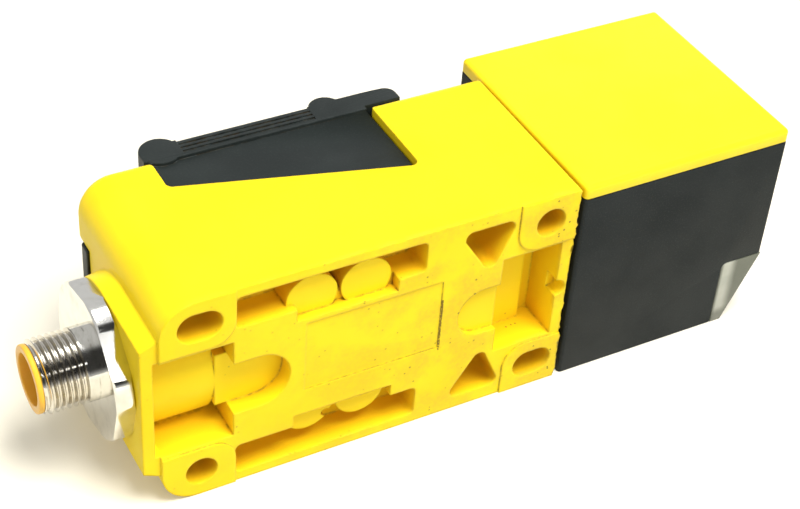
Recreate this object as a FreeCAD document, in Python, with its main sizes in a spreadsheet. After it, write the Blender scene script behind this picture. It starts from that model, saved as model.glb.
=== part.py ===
"""Inductive proximity switch with a terminal chamber, a round plug and a turnable sensing head.

The origin is the centre of the mounting-hole pattern on the mounting pads. +X runs along the housing to the
sensing head, +Y from the mounting side to the front cover, and +Z up, with the switch lying on its side.
"""
import FreeCAD, Part
import math
import os
import Sketcher
from FreeCAD import Placement, Rotation, Vector
from types import SimpleNamespace

# Driving dimensions in millimetres
SIZES = {
    # mounting pattern
    "hole_pitch_x": 60.0,
    "hole_pitch_z": 30.0,
    "hole_diameter": 5.3,
    "slot_length": 7.3,
    # base housing
    "base_width": 40.0,
    "base_depth": 34.6,
    "connector_end_margin": 6.5,
    "head_end_margin": 5.3,
    "end_corner_radius": 6.0,
    "front_edge_radius": 2.5,
    # mounting pads round the holes
    "pad_height": 0.3,
    "pad_reach_inward": 5.8,
    "pad_reach_across": 4.8,
    "pad_corner_radius": 4.0,
    # cored pockets of the mounting side
    "rail_start": 5.8,
    "rail_length": 32.0,
    "rail_edge": 1.8,
    "rail_width": 5.9,
    "rail_depth": 6.0,
    "shelf_start": 10.0,
    "shelf_length": 17.3,
    "shelf_width": 2.3,
    "shelf_depth": 2.5,
    "rail_boss_radius": 4.3,
    "rail_boss_start": 13.1,
    "rail_boss_pitch": 9.2,
    "rail_boss_inset": 0.6,
    "rail_boss_shift": 1.0,
    "rail_boss_depth": 1.8,
    "vent_hole_diameter": 1.6,
    "vent_hole_start": 22.2,
    "vent_hole_inset": 0.6,
    "vent_hole_depth": 5.5,
    "rail_corner_radius": 1.0,
    "core_edge": 2.5,
    "core_offset": 16.6,
    "core_length": 10.7,
    "core_apex": 6.35,
    "core_height": 9.7,
    "core_depth": 9.0,
    "core_corner_radius": 1.3,
    "plate_start": 17.5,
    "plate_length": 23.7,
    "plate_width": 13.8,
    "plate_lift": 2.1,
    "plate_depth": 0.5,
    "well_length": 11.0,
    "well_width": 19.5,
    "well_wall": 2.3,
    "well_depth": 6.2,
    "well_groove_width": 2.8,
    "well_groove_depth": 8.0,
    "well_notch_radius": 1.7,
    "well_notch_depth": 3.2,
    "well_ramp_length": 7.5,
    "well_ramp_radius": 4.7,
    "well_ramp_depth": 1.3,
    # conduit end
    "conduit_height": 15.1,
    "conduit_radius": 8.0,
    "barrel_radius": 11.8,
    "barrel_gap": 1.9,
    "barrel_well_width": 19.4,
    "barrel_well_depth": 10.5,
    "barrel_well_end": 5.5,
    "boss_thickness": 2.8,
    "boss_skin": 2.0,
    "boss_width": 25.2,
    "boss_flare": 1.4,
    "boss_foot": 0.7,
    "thumb_radius": 5.2,
    "thumb_end": 15.0,
    # terminal chamber and the seat of its cover
    "seat_start": 6.0,
    "seat_length": 38.8,
    "seat_drop_connector": 8.1,
    "seat_drop_head": 18.6,
    "seat_corner_radius": 1.2,
    "seat_lip_radius": 2.5,
    "gap_width": 20.0,
    "gap_drop": 6.4,
    "chamber_end_wall": 3.0,
    "chamber_side_wall": 3.2,
    "chamber_corner_radius": 2.0,
    "duct_radius": 1.5,
    "duct_cover": 1.2,
    "duct_floor": 0.3,
    # front cover
    "cover_clearance": 0.25,
    "cover_wall": 2.0,
    "cover_top": 2.4,
    "cheek_recess": 1.3,
    "rim_recess": 0.7,
    "rim_gap": 0.1,
    "rim_height": 3.8,
    "rim_overlap": 0.6,
    "rim_lip": 0.8,
    "rim_end_radius": 1.5,
    "tab_length": 6.4,
    "tab_radius": 2.0,
    "ridge_height": 1.6,
    "ridge_connector_radius": 3.4,
    "ridge_head_radius": 2.9,
    "ridge_head_inset": 6.4,
    "grip_recess": 0.4,
    "grip_rib_height": 0.3,
    "grip_rib_width": 0.5,
    "grip_rib_pitch": 0.95,
    "tongue_clearance": 0.3,
    "tongue_proud": 0.4,
    "tongue_end_rise": 2.4,
    "tongue_rise": 8.6,
    "gasket_thickness": 0.9,
    "gasket_width": 1.9,
    "gasket_inset": 0.35,
    "seat_gap": 0.05,
    # cover screw and its insert
    "screw_setback": 3.1,
    "screw_shank_radius": 1.45,
    "screw_shank_length": 5.4,
    "screw_hole_radius": 1.7,
    "screw_head_radius": 2.75,
    "screw_head_height": 1.8,
    "screw_head_clearance": 0.25,
    "screw_slot_width": 0.8,
    "screw_slot_depth": 0.8,
    "insert_radius": 2.1,
    "insert_bore_radius": 1.6,
    "insert_length": 4.0,
    "press_clearance": 0.02,
    # round plug
    "flange_across_flats": 24.0,
    "flange_turned_radius": 12.75,
    "flange_thickness": 3.1,
    "flange_turn": 46.0,
    "flange_bevel": 0.3,
    "thread_radius": 6.0,
    "thread_length": 8.5,
    "thread_bevel": 0.5,
    "stub_clearance": 0.2,
    "stub_length": 10.3,
    "plug_bore_radius": 5.35,
    "carrier_clearance": 0.05,
    "carrier_proud": 0.9,
    "carrier_lip": 0.15,
    "carrier_cavity_radius": 4.2,
    "carrier_cavity_depth": 9.0,
    "carrier_tail": 2.0,
    "pin_radius": 0.5,
    "pin_circle_radius": 2.5,
    "pin_setback": 2.3,
    "pin_tail": 2.5,
    "seal_section": 1.5,
    "seal_clearance": 0.1,
    # terminals and leads
    "terminal_pitch": 7.0,
    "terminal_length": 13.5,
    "terminal_setback": 1.4,
    "terminal_height": 7.0,
    "terminal_barrier": 2.5,
    "terminal_barrier_wall": 1.0,
    "clamp_length": 6.0,
    "clamp_width": 4.4,
    "clamp_height": 1.2,
    "terminal_screw_radius": 1.7,
    "terminal_screw_height": 1.4,
    "lead_radius": 0.65,
    "lead_bend": 4.0,
    "lead_entry_height": 2.5,
    "lead_gap": 0.3,
    "bundle_radius": 1.0,
    "bundle_gap": 0.2,
    # sensing head
    "head_gap": 0.7,
    "head_length": 40.3,
    "head_width": 40.0,
    "head_depth": 40.0,
    "head_wall": 2.0,
    "head_edge_radius": 0.7,
    "bevel_length": 6.1,
    "bevel_height": 13.4,
    "cap_thickness": 2.5,
    "cap_edge_radius": 0.8,
    "cap_rim_height": 2.0,
    "cap_rim_wall": 1.2,
    "cap_clearance": 0.1,
    "window_length": 8.3,
    "window_thickness": 2.5,
    "window_corner_radius": 1.0,
    "window_clearance": 0.05,
    # turning spigot
    "socket_radius": 10.0,
    "socket_wall": 4.2,
    "spigot_clearance": 0.08,
    "spigot_length": 9.7,
    "spigot_bore_radius": 6.0,
    "ring_section": 1.3,
    "ring_setback": 7.6,
    "ring_groove_depth": 0.9,
    "ring_clearance": 0.3,
    "ring_play": 0.1,
    "ring_opening": 3.0,
    "head_seal_section": 1.6,
    "head_seal_setback": 3.5,
    # sensing coil and electronics
    "core_radius": 14.0,
    "core_thickness": 8.0,
    "core_groove_outer": 11.0,
    "core_groove_inner": 5.5,
    "core_groove_depth": 5.5,
    "bobbin_clearance": 0.15,
    "bobbin_wall": 0.5,
    "coil_clearance": 0.05,
    "board_thickness": 1.6,
    "board_clearance": 0.2,
    "board_ledge_width": 1.5,
    "board_ledge_height": 1.5,
    "board_ledge_length": 28.0,
    "board_ledge_setback": 3.3,
    "chip_length": 6.0,
    "chip_width": 5.0,
    "chip_height": 1.5,
    "chip_pitch": 9.0,
    "capacitor_length": 4.5,
    "capacitor_width": 3.5,
    "capacitor_height": 3.0,
    "led_length": 1.8,
    "led_width": 1.2,
    "led_height": 0.9,
}


def text_of(number):
    """Give a number as the text of a sheet expression."""
    if isinstance(number, Size):
        return number.text
    return f"({float(number)!r})"


class Size(float):
    """A length that keeps the sheet expression that it is worked out from."""

    def __new__(cls, value, text):
        number = super().__new__(cls, value)
        number.text = text
        return number

    def __add__(self, other):
        return Size(float(self) + float(other), f"({self.text} + {text_of(other)})")

    def __radd__(self, other):
        return Size(float(other) + float(self), f"({text_of(other)} + {self.text})")

    def __sub__(self, other):
        return Size(float(self) - float(other), f"({self.text} - {text_of(other)})")

    def __rsub__(self, other):
        return Size(float(other) - float(self), f"({text_of(other)} - {self.text})")

    def __mul__(self, other):
        return Size(float(self) * float(other), f"({self.text} * {text_of(other)})")

    def __rmul__(self, other):
        return Size(float(other) * float(self), f"({text_of(other)} * {self.text})")

    def __truediv__(self, other):
        return Size(float(self) / float(other), f"({self.text} / {text_of(other)})")

    def __neg__(self):
        return Size(-float(self), f"(0 - {self.text})")


doc = FreeCAD.newDocument("proximity_switch")
sheet = doc.addObject("Spreadsheet::Sheet", "Sizes")
for row, (alias, value) in enumerate(SIZES.items(), start=1):
    sheet.set(f"A{row}", alias)
    sheet.set(f"B{row}", str(value))
    sheet.setAlias(f"B{row}", alias)
doc.recompute()
S = SimpleNamespace(**{alias: Size(float(sheet.get(alias)), f"Sizes.{alias}") for alias in SIZES})

# Sketch planes: the sign turns a world level into an offset along the plane's normal
PLANE_SIGN = {"XY_Plane": 1, "XZ_Plane": -1, "YZ_Plane": 1}
SKETCH_ORIGIN = -1
START, END, CENTRE = range(1, 4)


def bind(item, path, number):
    """Tie one property of an object to the sheet."""
    item.setExpression(path, text_of(number))


def new_body(label):
    """Start a sub-part made of sketches and features."""
    body = doc.addObject("PartDesign::Body", label)
    body.Label = label
    body.AllowCompound = True
    return body


def new_sketch(body, role, level=0.0, origin_x=0.0, origin_y=0.0):
    """Attach a sketch to a plane of the body, at a level along the world axis across that plane."""
    plane = next(item for item in body.Origin.OriginFeatures if item.Role == role)
    sketch = body.newObject("Sketcher::SketchObject", f"{body.Name}_outline")
    sketch.AttachmentSupport = [(plane, "")]
    sketch.MapMode = "FlatFace"
    bind(sketch, "AttachmentOffset.Base.x", origin_x)
    bind(sketch, "AttachmentOffset.Base.y", origin_y)
    bind(sketch, "AttachmentOffset.Base.z", level * PLANE_SIGN[role])
    return sketch


def constrain(sketch, kind, *parts):
    """Add a constraint; a last part that is a size is tied to the sheet."""
    if not isinstance(parts[-1], float):
        sketch.addConstraint(Sketcher.Constraint(kind, *parts))
        return
    index = sketch.addConstraint(Sketcher.Constraint(kind, *parts[:-1], float(parts[-1])))
    sketch.setExpression(f"Constraints[{index}]", text_of(parts[-1]))


def place_point(sketch, element, point, x, y):
    """Fix a point of a sketch element from the sketch origin."""
    constrain(sketch, "DistanceX", SKETCH_ORIGIN, START, element, point, x * 1.0)
    constrain(sketch, "DistanceY", SKETCH_ORIGIN, START, element, point, y * 1.0)


def outline(sketch, corners):
    """Draw a closed loop of straight sides through corners given as (x, y) or (x, y, radius)."""
    count = len(corners)
    spots = [Vector(float(corner[0]), float(corner[1]), 0) for corner in corners]
    radii = [corner[2] if len(corner) > 2 else 0.0 for corner in corners]
    leaving = [(spots[(i + 1) % count] - spots[i]).normalize() for i in range(count)]
    turns = []
    for i in range(count):
        before = leaving[i - 1]
        after = leaving[i]
        turns.append(math.atan2(before.cross(after).z, before.dot(after)))
    reach = [abs(float(radii[i]) * math.tan(turns[i] / 2)) for i in range(count)]
    sides = []
    for i in range(count):
        after = (i + 1) % count
        begin = spots[i] + leaving[i] * reach[i]
        finish = spots[after] - leaving[i] * reach[after]
        sides.append(sketch.addGeometry(Part.LineSegment(begin, finish), False))
    for i in range(count):
        x, y = corners[i][0], corners[i][1]
        if not radii[i]:
            constrain(sketch, "Coincident", sides[i - 1], END, sides[i], START)
            place_point(sketch, sides[i], START, x, y)
            continue
        leftward = turns[i] > 0
        normal = Vector(-leaving[i].y, leaving[i].x, 0) * (1 if leftward else -1)
        begin = spots[i] - leaving[i - 1] * reach[i]
        finish = spots[i] + leaving[i] * reach[i]
        middle = finish + normal * float(radii[i])
        first, last = (begin, finish) if leftward else (finish, begin)
        start_angle = math.atan2(first.y - middle.y, first.x - middle.x)
        sweep = abs(turns[i])
        circle_shape = Part.Circle(middle, Vector(0, 0, 1), float(radii[i]))
        arc_shape = Part.ArcOfCircle(circle_shape, start_angle, start_angle + sweep)
        arc = sketch.addGeometry(arc_shape, False)
        corner = sketch.addGeometry(Part.Point(spots[i]), True)
        place_point(sketch, corner, START, x, y)
        constrain(sketch, "PointOnObject", corner, START, sides[i - 1])
        constrain(sketch, "PointOnObject", corner, START, sides[i])
        constrain(sketch, "Tangent", sides[i - 1], END, arc, START if leftward else END)
        constrain(sketch, "Tangent", arc, END if leftward else START, sides[i], START)
        constrain(sketch, "Radius", arc, radii[i])


def rectangle(sketch, low_x, high_x, low_y, high_y, radius=0.0):
    """Draw a rectangle, with round corners if a radius is given."""
    corners = [(low_x, low_y), (high_x, low_y), (high_x, high_y), (low_x, high_y)]
    outline(sketch, [(x, y, radius) for x, y in corners])


def circle(sketch, x, y, radius):
    """Draw a circle."""
    ring = sketch.addGeometry(Part.Circle(Vector(x, y, 0), Vector(0, 0, 1), float(radius)), False)
    place_point(sketch, ring, CENTRE, x, y)
    constrain(sketch, "Radius", ring, radius)


def slot(sketch, low_x, high_x, y, radius):
    """Draw a slot along the sketch's first axis, from one end's centre to the other's."""
    r = float(radius)
    up = Vector(0, 0, 1)
    quarter = math.pi / 2
    left_circle = Part.Circle(Vector(low_x, y, 0), up, r)
    right_circle = Part.Circle(Vector(high_x, y, 0), up, r)
    left = sketch.addGeometry(Part.ArcOfCircle(left_circle, quarter, 3 * quarter), False)
    right = sketch.addGeometry(Part.ArcOfCircle(right_circle, -quarter, quarter), False)
    bottom_line = Part.LineSegment(Vector(low_x, y - r, 0), Vector(high_x, y - r, 0))
    top_line = Part.LineSegment(Vector(high_x, y + r, 0), Vector(low_x, y + r, 0))
    bottom = sketch.addGeometry(bottom_line, False)
    top = sketch.addGeometry(top_line, False)
    constrain(sketch, "Tangent", left, END, bottom, START)
    constrain(sketch, "Tangent", bottom, END, right, START)
    constrain(sketch, "Tangent", right, END, top, START)
    constrain(sketch, "Tangent", top, END, left, START)
    constrain(sketch, "Equal", left, right)
    place_point(sketch, left, CENTRE, low_x, y)
    place_point(sketch, right, CENTRE, high_x, y)
    constrain(sketch, "Radius", left, radius)


def arch(sketch, foot, centre, half):
    """Draw a foot line, two upright sides and a half circle over them, along the sketch's first axis."""
    span = float(half)
    low = Vector(foot, -span, 0)
    high = Vector(foot, span, 0)
    low_end = Vector(centre, -span, 0)
    high_end = Vector(centre, span, 0)
    round_shape = Part.Circle(Vector(centre, 0, 0), Vector(0, 0, 1), span)
    crown = sketch.addGeometry(Part.ArcOfCircle(round_shape, -math.pi / 2, math.pi / 2), False)
    left = sketch.addGeometry(Part.LineSegment(high_end, high), False)
    base = sketch.addGeometry(Part.LineSegment(high, low), False)
    right = sketch.addGeometry(Part.LineSegment(low, low_end), False)
    constrain(sketch, "Tangent", crown, END, left, START)
    constrain(sketch, "Coincident", left, END, base, START)
    constrain(sketch, "Coincident", base, END, right, START)
    constrain(sketch, "Tangent", right, END, crown, START)
    constrain(sketch, "Vertical", base)
    constrain(sketch, "Horizontal", left)
    constrain(sketch, "Horizontal", right)
    place_point(sketch, crown, CENTRE, centre, 0.0)
    constrain(sketch, "Radius", crown, half)
    constrain(sketch, "DistanceX", SKETCH_ORIGIN, START, base, START, foot)


def feature(body, kind, sketch, length, forward, symmetric):
    """Make a pad or pocket, and check that it changed the body."""
    before = 0.0 if body.Tip is None else body.Shape.Volume
    item = body.newObject(f"PartDesign::{kind}", f"{body.Name}_{kind.lower()}")
    item.Profile = sketch
    if symmetric:
        item.SideType = "Symmetric"
    item.Reversed = not forward
    bind(item, "Length", length)
    doc.recompute()
    change = body.Shape.Volume - before
    if change * (1 if kind == "Pad" else -1) <= 0:
        raise ValueError(f"{item.Name} leaves {body.Label} as it was")
    return item


def pad(body, sketch, length, towards=1, symmetric=False):
    """Add material from a sketch, towards the higher (1) or lower (-1) end of its world axis."""
    sign = -1 if "XZ_Plane" in sketch.AttachmentSupport[0][0].Role else 1
    return feature(body, "Pad", sketch, length, towards == sign, symmetric)


def pocket(body, sketch, length, towards=1, symmetric=False):
    """Cut material away from a sketch, towards the higher (1) or lower (-1) end of its world axis."""
    sign = -1 if "XZ_Plane" in sketch.AttachmentSupport[0][0].Role else 1
    return feature(body, "Pocket", sketch, length, towards != sign, symmetric)


def turn(body, kind, sketch):
    """Revolve a sketch about its own first axis, adding (Revolution) or cutting (Groove)."""
    before = 0.0 if body.Tip is None else body.Shape.Volume
    item = body.newObject(f"PartDesign::{kind}", f"{body.Name}_{kind.lower()}")
    item.Profile = sketch
    item.ReferenceAxis = (sketch, ["H_Axis"])
    item.Angle = 360.0
    doc.recompute()
    change = body.Shape.Volume - before
    if change * (1 if kind == "Revolution" else -1) <= 0:
        raise ValueError(f"{item.Name} leaves {body.Label} as it was")
    return item


def round_edges(body, radius, wanted):
    """Round the edges of the body that the test picks out."""
    base = body.Tip
    names = [f"Edge{i}" for i, edge in enumerate(base.Shape.Edges, start=1) if wanted(edge)]
    item = body.newObject("PartDesign::Fillet", f"{body.Name}_fillet")
    item.Base = (base, names)
    bind(item, "Radius", radius)
    doc.recompute()
    return item


def flat_at(edge, axis, level):
    """Tell whether an edge lies in the plane across an axis at a level."""
    box = edge.BoundBox
    low, high = {"x": (box.XMin, box.XMax), "y": (box.YMin, box.YMax), "z": (box.ZMin, box.ZMax)}[axis]
    return abs(low - float(level)) < 1e-4 and abs(high - float(level)) < 1e-4


def place(item, x, y, z):
    """Place a primitive by the sheet."""
    bind(item, "Placement.Base.x", x)
    bind(item, "Placement.Base.y", y)
    bind(item, "Placement.Base.z", z)


def box(name, low, spans):
    """Make a box from its lowest corner and its three spans."""
    item = doc.addObject("Part::Box", name)
    place(item, *low)
    for path, span in zip(("Length", "Width", "Height"), spans):
        bind(item, path, span)
    return item


# Corner form of a swept lead
MITRED = 1

# Rotations that lay a cylinder's own axis along a world axis
ALONG_AXIS = {
    "x": Rotation(Vector(0, 1, 0), 90),
    "y": Rotation(Vector(1, 0, 0), -90),
    "z": Rotation(),
}


def cylinder(name, start, axis, radius, length):
    """Make a cylinder that runs from its start along a world axis."""
    item = doc.addObject("Part::Cylinder", name)
    item.Placement = Placement(Vector(), ALONG_AXIS[axis])
    place(item, *start)
    bind(item, "Radius", radius)
    bind(item, "Height", length)
    return item


def ring(name, start, axis, outer, inner, length):
    """Make a plain ring, as one cylinder cut out of another."""
    item = doc.addObject("Part::Cut", name)
    item.Base = cylinder(f"{name}_outer", start, axis, outer, length)
    item.Tool = cylinder(f"{name}_inner", start, axis, inner, length)
    return item


def group(label, members):
    """Gather like pieces in one sub-part."""
    item = doc.addObject("Part::Compound", label)
    item.Label = label
    item.Links = members
    return item


def tube(label, points, radius, bend=0.0):
    """Sweep a round lead along straight runs, joined by arcs or, without a bend, by mitred corners."""
    spots = [Vector(*[float(number) for number in point]) for point in points]
    edges = []
    begin = spots[0]
    for before, spot, after in zip(spots, spots[1:], spots[2:]):
        if not bend:
            edges.append(Part.LineSegment(begin, spot).toShape())
            begin = spot
            continue
        arriving = (spot - before).normalize()
        going = (after - spot).normalize()
        angle = arriving.getAngle(going)
        reach = float(bend) * math.tan(angle / 2)
        arc_begin = spot - arriving * reach
        arc_end = spot + going * reach
        inward = (going - arriving).normalize()
        middle = spot + inward * (float(bend) * (1 / math.cos(angle / 2) - 1))
        edges.append(Part.LineSegment(begin, arc_begin).toShape())
        edges.append(Part.Arc(arc_begin, middle, arc_end).toShape())
        begin = arc_end
    edges.append(Part.LineSegment(begin, spots[-1]).toShape())
    heading = (spots[1] - spots[0]).normalize()
    section = Part.Wire([Part.Circle(spots[0], heading, float(radius)).toShape()])
    item = doc.addObject("Part::Feature", label)
    item.Label = label
    item.Shape = Part.Wire(edges).makePipeShell([section], True, False, MITRED)
    item.Placement = Placement()
    return item


# Planes and axes of the housing
half_width = S.base_width / 2
hole_x = S.hole_pitch_x / 2
hole_z = S.hole_pitch_z / 2
hole_radius = S.hole_diameter / 2
back = S.pad_height
connector_end = -(hole_x + S.connector_end_margin)
head_end = hole_x + S.head_end_margin
boss_face = connector_end - S.boss_thickness
past = S.base_width

# Seat of the front cover: a slanted plane between two upright walls
seat_low_x = S.seat_start - hole_x
seat_high_x = seat_low_x + S.seat_length
seat_connector_y = S.base_depth - S.seat_drop_connector
seat_head_y = S.base_depth - S.seat_drop_head
seat_slope = (seat_head_y - seat_connector_y) / S.seat_length
gap_floor = S.base_depth - S.gap_drop
duct_y = seat_head_y - S.duct_cover - S.duct_radius
chamber_floor = duct_y - S.duct_radius - S.duct_floor
chamber_low_x = seat_low_x + S.chamber_end_wall
chamber_high_x = seat_high_x - S.chamber_end_wall
chamber_half = half_width - S.chamber_side_wall

# Turning axis of the head
axis_y = S.head_depth / 2
socket_floor = seat_high_x + S.socket_wall
head_start = head_end + S.head_gap
head_finish = head_start + S.head_length
spigot_radius = S.socket_radius - S.spigot_clearance
spigot_end = head_start - S.spigot_length
ring_low = head_start - S.ring_setback - S.ring_section / 2
ring_groove_low = ring_low - S.ring_play
ring_groove_width = S.ring_section + S.ring_play * 2
seal_x = head_start - S.head_seal_setback
screw_x = seat_high_x + S.screw_setback
seal_outer = S.conduit_radius + S.seal_section + S.seal_clearance * 2


def seat_y(x):
    """Height of the seat plane at a place along the housing."""
    return seat_connector_y + seat_slope * (x - seat_low_x)


def make_base_shell():
    """Make the moulded base block with its pads, boss and mounting holes."""
    body = new_body("base_housing")
    block = new_sketch(body, "XZ_Plane", back)
    outline(block, [
        (connector_end, -half_width, S.end_corner_radius),
        (head_end, -half_width),
        (head_end, half_width),
        (connector_end, half_width, S.end_corner_radius),
    ])
    pad(body, block, S.base_depth - back)
    round_edges(body, S.front_edge_radius,
                lambda edge: flat_at(edge, "y", S.base_depth) and not flat_at(edge, "x", head_end))
    corner_pads = new_sketch(body, "XZ_Plane")
    for side in (-1, 1):
        rim_z = half_width * side
        inner_z = (hole_z - S.pad_reach_across) * side
        outline(corner_pads, [
            (connector_end, rim_z, S.end_corner_radius),
            (S.pad_reach_inward - hole_x, rim_z),
            (S.pad_reach_inward - hole_x, inner_z, S.pad_corner_radius),
            (connector_end, inner_z),
        ])
        outline(corner_pads, [
            (head_end, rim_z),
            (head_end, inner_z),
            (hole_x - S.pad_reach_inward, inner_z, S.pad_corner_radius),
            (hole_x - S.pad_reach_inward, rim_z),
        ])
    pad(body, corner_pads, back)
    boss_root = new_sketch(body, "YZ_Plane", connector_end)
    arch(boss_root, S.boss_foot, S.conduit_height - S.boss_flare, S.boss_width / 2 + S.boss_flare)
    boss_front = new_sketch(body, "YZ_Plane", boss_face)
    arch(boss_front, S.boss_foot, S.conduit_height, S.boss_width / 2)
    doc.recompute()
    before = body.Shape.Volume
    boss = body.newObject("PartDesign::AdditiveLoft", "conduit_boss")
    boss.Profile = boss_root
    boss.Sections = [boss_front]
    boss.Ruled = True
    doc.recompute()
    if body.Shape.Volume <= before:
        raise ValueError("the conduit boss adds nothing to the base")
    return body


def core_out_base(body):
    """Cut the pockets that core out the mounting side of the base."""
    rail_low_x = S.rail_start - hole_x
    rail_high_x = rail_low_x + S.rail_length
    rail_outer = half_width - S.rail_edge
    rail_inner = rail_outer - S.rail_width
    shelf_low_x = rail_low_x + S.shelf_start
    rails = new_sketch(body, "XZ_Plane")
    shelves = new_sketch(body, "XZ_Plane")
    bosses = new_sketch(body, "XZ_Plane", S.rail_boss_depth)
    for side in (-1, 1):
        low_z, high_z = sorted((rail_inner * side, rail_outer * side))
        rectangle(rails, rail_low_x, rail_high_x, low_z, high_z, S.rail_corner_radius)
        low_z, high_z = sorted(((rail_inner - S.shelf_width) * side, (rail_inner + S.shelf_width) * side))
        rectangle(shelves, shelf_low_x, shelf_low_x + S.shelf_length, low_z, high_z)
        for step in (0, 1):
            boss_x = rail_low_x + S.rail_boss_start + S.rail_boss_pitch * step
            boss_z = (rail_inner - S.rail_boss_inset) * side + S.rail_boss_shift
            circle(bosses, boss_x, boss_z, S.rail_boss_radius)
    pocket(body, rails, S.rail_depth)
    pocket(body, shelves, S.shelf_depth)
    pad(body, bosses, S.rail_depth - S.rail_boss_depth)
    vent = new_sketch(body, "XZ_Plane")
    circle(vent, S.vent_hole_start - hole_x, -rail_inner - S.vent_hole_inset, S.vent_hole_diameter / 2)
    pocket(body, vent, S.vent_hole_depth)
    cores = new_sketch(body, "XZ_Plane")
    core_low_x = hole_x - S.core_offset
    core_outer = half_width - S.core_edge
    for side in (-1, 1):
        outline(cores, [
            (core_low_x, core_outer * side, S.core_corner_radius),
            (core_low_x + S.core_length, core_outer * side, S.core_corner_radius),
            (core_low_x + S.core_apex, (core_outer - S.core_height) * side, S.core_corner_radius),
        ])
    pocket(body, cores, S.core_depth)
    plate = new_sketch(body, "XZ_Plane")
    plate_low_x = S.plate_start - hole_x
    plate_low_z = S.plate_lift - S.plate_width / 2
    rectangle(plate, plate_low_x, plate_low_x + S.plate_length, plate_low_z, plate_low_z + S.plate_width)
    pocket(body, plate, S.plate_depth)
    well_high_x = head_end - S.well_wall
    well_low_x = well_high_x - S.well_length
    well_half = S.well_width / 2
    well = new_sketch(body, "XZ_Plane")
    rectangle(well, well_low_x, well_high_x, -well_half, well_half)
    pocket(body, well, S.well_depth)
    well_groove = new_sketch(body, "XZ_Plane")
    rectangle(well_groove, well_high_x - S.well_groove_width, well_high_x, -well_half, well_half)
    pocket(body, well_groove, S.well_groove_depth)
    well_notch = new_sketch(body, "XZ_Plane")
    circle(well_notch, well_high_x, 0.0, S.well_notch_radius)
    pocket(body, well_notch, S.well_notch_depth)
    ramp = new_sketch(body, "XZ_Plane")
    ramp_low_x = well_low_x - S.well_ramp_length + S.well_ramp_radius
    slot(ramp, ramp_low_x, well_low_x + S.well_ramp_radius, 0.0, S.well_ramp_radius)
    pocket(body, ramp, S.well_ramp_depth)


def open_conduit_end(body):
    """Shape the conduit barrel on the mounting side and bore it through to the chamber."""
    well_low_x = boss_face + S.boss_skin
    well_high_x = S.barrel_well_end - hole_x
    barrel_well = new_sketch(body, "YZ_Plane", well_low_x)
    barrel_well_half = S.barrel_well_width / 2
    rectangle(barrel_well, -S.pad_height, S.barrel_well_depth, -barrel_well_half, barrel_well_half)
    pocket(body, barrel_well, well_high_x - well_low_x)
    barrel = new_sketch(body, "YZ_Plane", well_low_x)
    circle(barrel, S.conduit_height, 0.0, S.barrel_radius)
    pad(body, barrel, well_high_x - S.barrel_gap - well_low_x)
    thumb_floor = S.conduit_height - S.barrel_radius
    saddle = new_sketch(body, "XZ_Plane", thumb_floor)
    rectangle(saddle, well_high_x - S.barrel_gap, well_high_x, -S.thumb_radius, S.thumb_radius)
    pad(body, saddle, S.barrel_well_depth - thumb_floor)
    thumb = new_sketch(body, "XZ_Plane")
    slot(thumb, well_high_x - S.thumb_radius / 2, S.thumb_end - hole_x - S.thumb_radius, 0.0, S.thumb_radius)
    pocket(body, thumb, thumb_floor)


def open_chamber(body):
    """Cut the cover's seat, the terminal chamber, the bores and the mounting holes."""
    seat = new_sketch(body, "XY_Plane")
    flare = S.seat_lip_radius * 2
    top = S.base_depth + S.rim_height
    outline(seat, [
        (seat_low_x - flare, S.base_depth),
        (seat_low_x, S.base_depth, S.seat_lip_radius),
        (seat_low_x, seat_connector_y, S.seat_corner_radius),
        (seat_high_x, seat_head_y, S.seat_corner_radius),
        (seat_high_x, S.base_depth, S.seat_lip_radius),
        (seat_high_x + flare, S.base_depth),
        (seat_high_x + flare, top),
        (seat_low_x - flare, top),
    ])
    pocket(body, seat, S.base_width * 2, 1, True)
    tower_gap = new_sketch(body, "XZ_Plane", gap_floor)
    rectangle(tower_gap, boss_face, seat_low_x + S.seat_lip_radius, -S.gap_width / 2, S.gap_width / 2)
    pocket(body, tower_gap, past)
    chamber = new_sketch(body, "XZ_Plane", chamber_floor)
    rectangle(chamber, chamber_low_x, chamber_high_x, -chamber_half, chamber_half, S.chamber_corner_radius)
    pocket(body, chamber, past)
    conduit = new_sketch(body, "YZ_Plane", boss_face)
    circle(conduit, S.conduit_height, 0.0, S.conduit_radius)
    pocket(body, conduit, chamber_low_x + S.chamber_corner_radius - boss_face)
    seal_seat = new_sketch(body, "YZ_Plane", boss_face)
    circle(seal_seat, S.conduit_height, 0.0, seal_outer)
    pocket(body, seal_seat, S.seal_section)
    duct = new_sketch(body, "YZ_Plane", chamber_high_x - S.chamber_corner_radius)
    circle(duct, duct_y, 0.0, S.duct_radius)
    pocket(body, duct, socket_floor + S.chamber_corner_radius * 2 - chamber_high_x)
    socket = new_sketch(body, "YZ_Plane", socket_floor)
    circle(socket, axis_y, 0.0, S.socket_radius)
    pocket(body, socket, head_end - socket_floor)
    ring_groove = new_sketch(body, "YZ_Plane", ring_groove_low)
    circle(ring_groove, axis_y, 0.0, S.socket_radius + S.ring_groove_depth)
    pocket(body, ring_groove, ring_groove_width)
    insert_hole = new_sketch(body, "XZ_Plane", S.base_depth - S.insert_length)
    circle(insert_hole, screw_x, 0.0, S.insert_radius + S.press_clearance)
    pocket(body, insert_hole, S.insert_length)
    holes = new_sketch(body, "XZ_Plane")
    slot_half = (S.slot_length - S.hole_diameter) / 2
    for end in (-1, 1):
        hole_place = hole_x * end
        circle(holes, hole_place, hole_z * end, hole_radius)
        slot(holes, hole_place - slot_half, hole_place + slot_half, -hole_z * end, hole_radius)
    pocket(body, holes, S.base_depth)


def make_base_housing():
    """Make the base housing in the order that its forms need."""
    body = make_base_shell()
    core_out_base(body)
    open_conduit_end(body)
    open_chamber(body)
    return body


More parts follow.
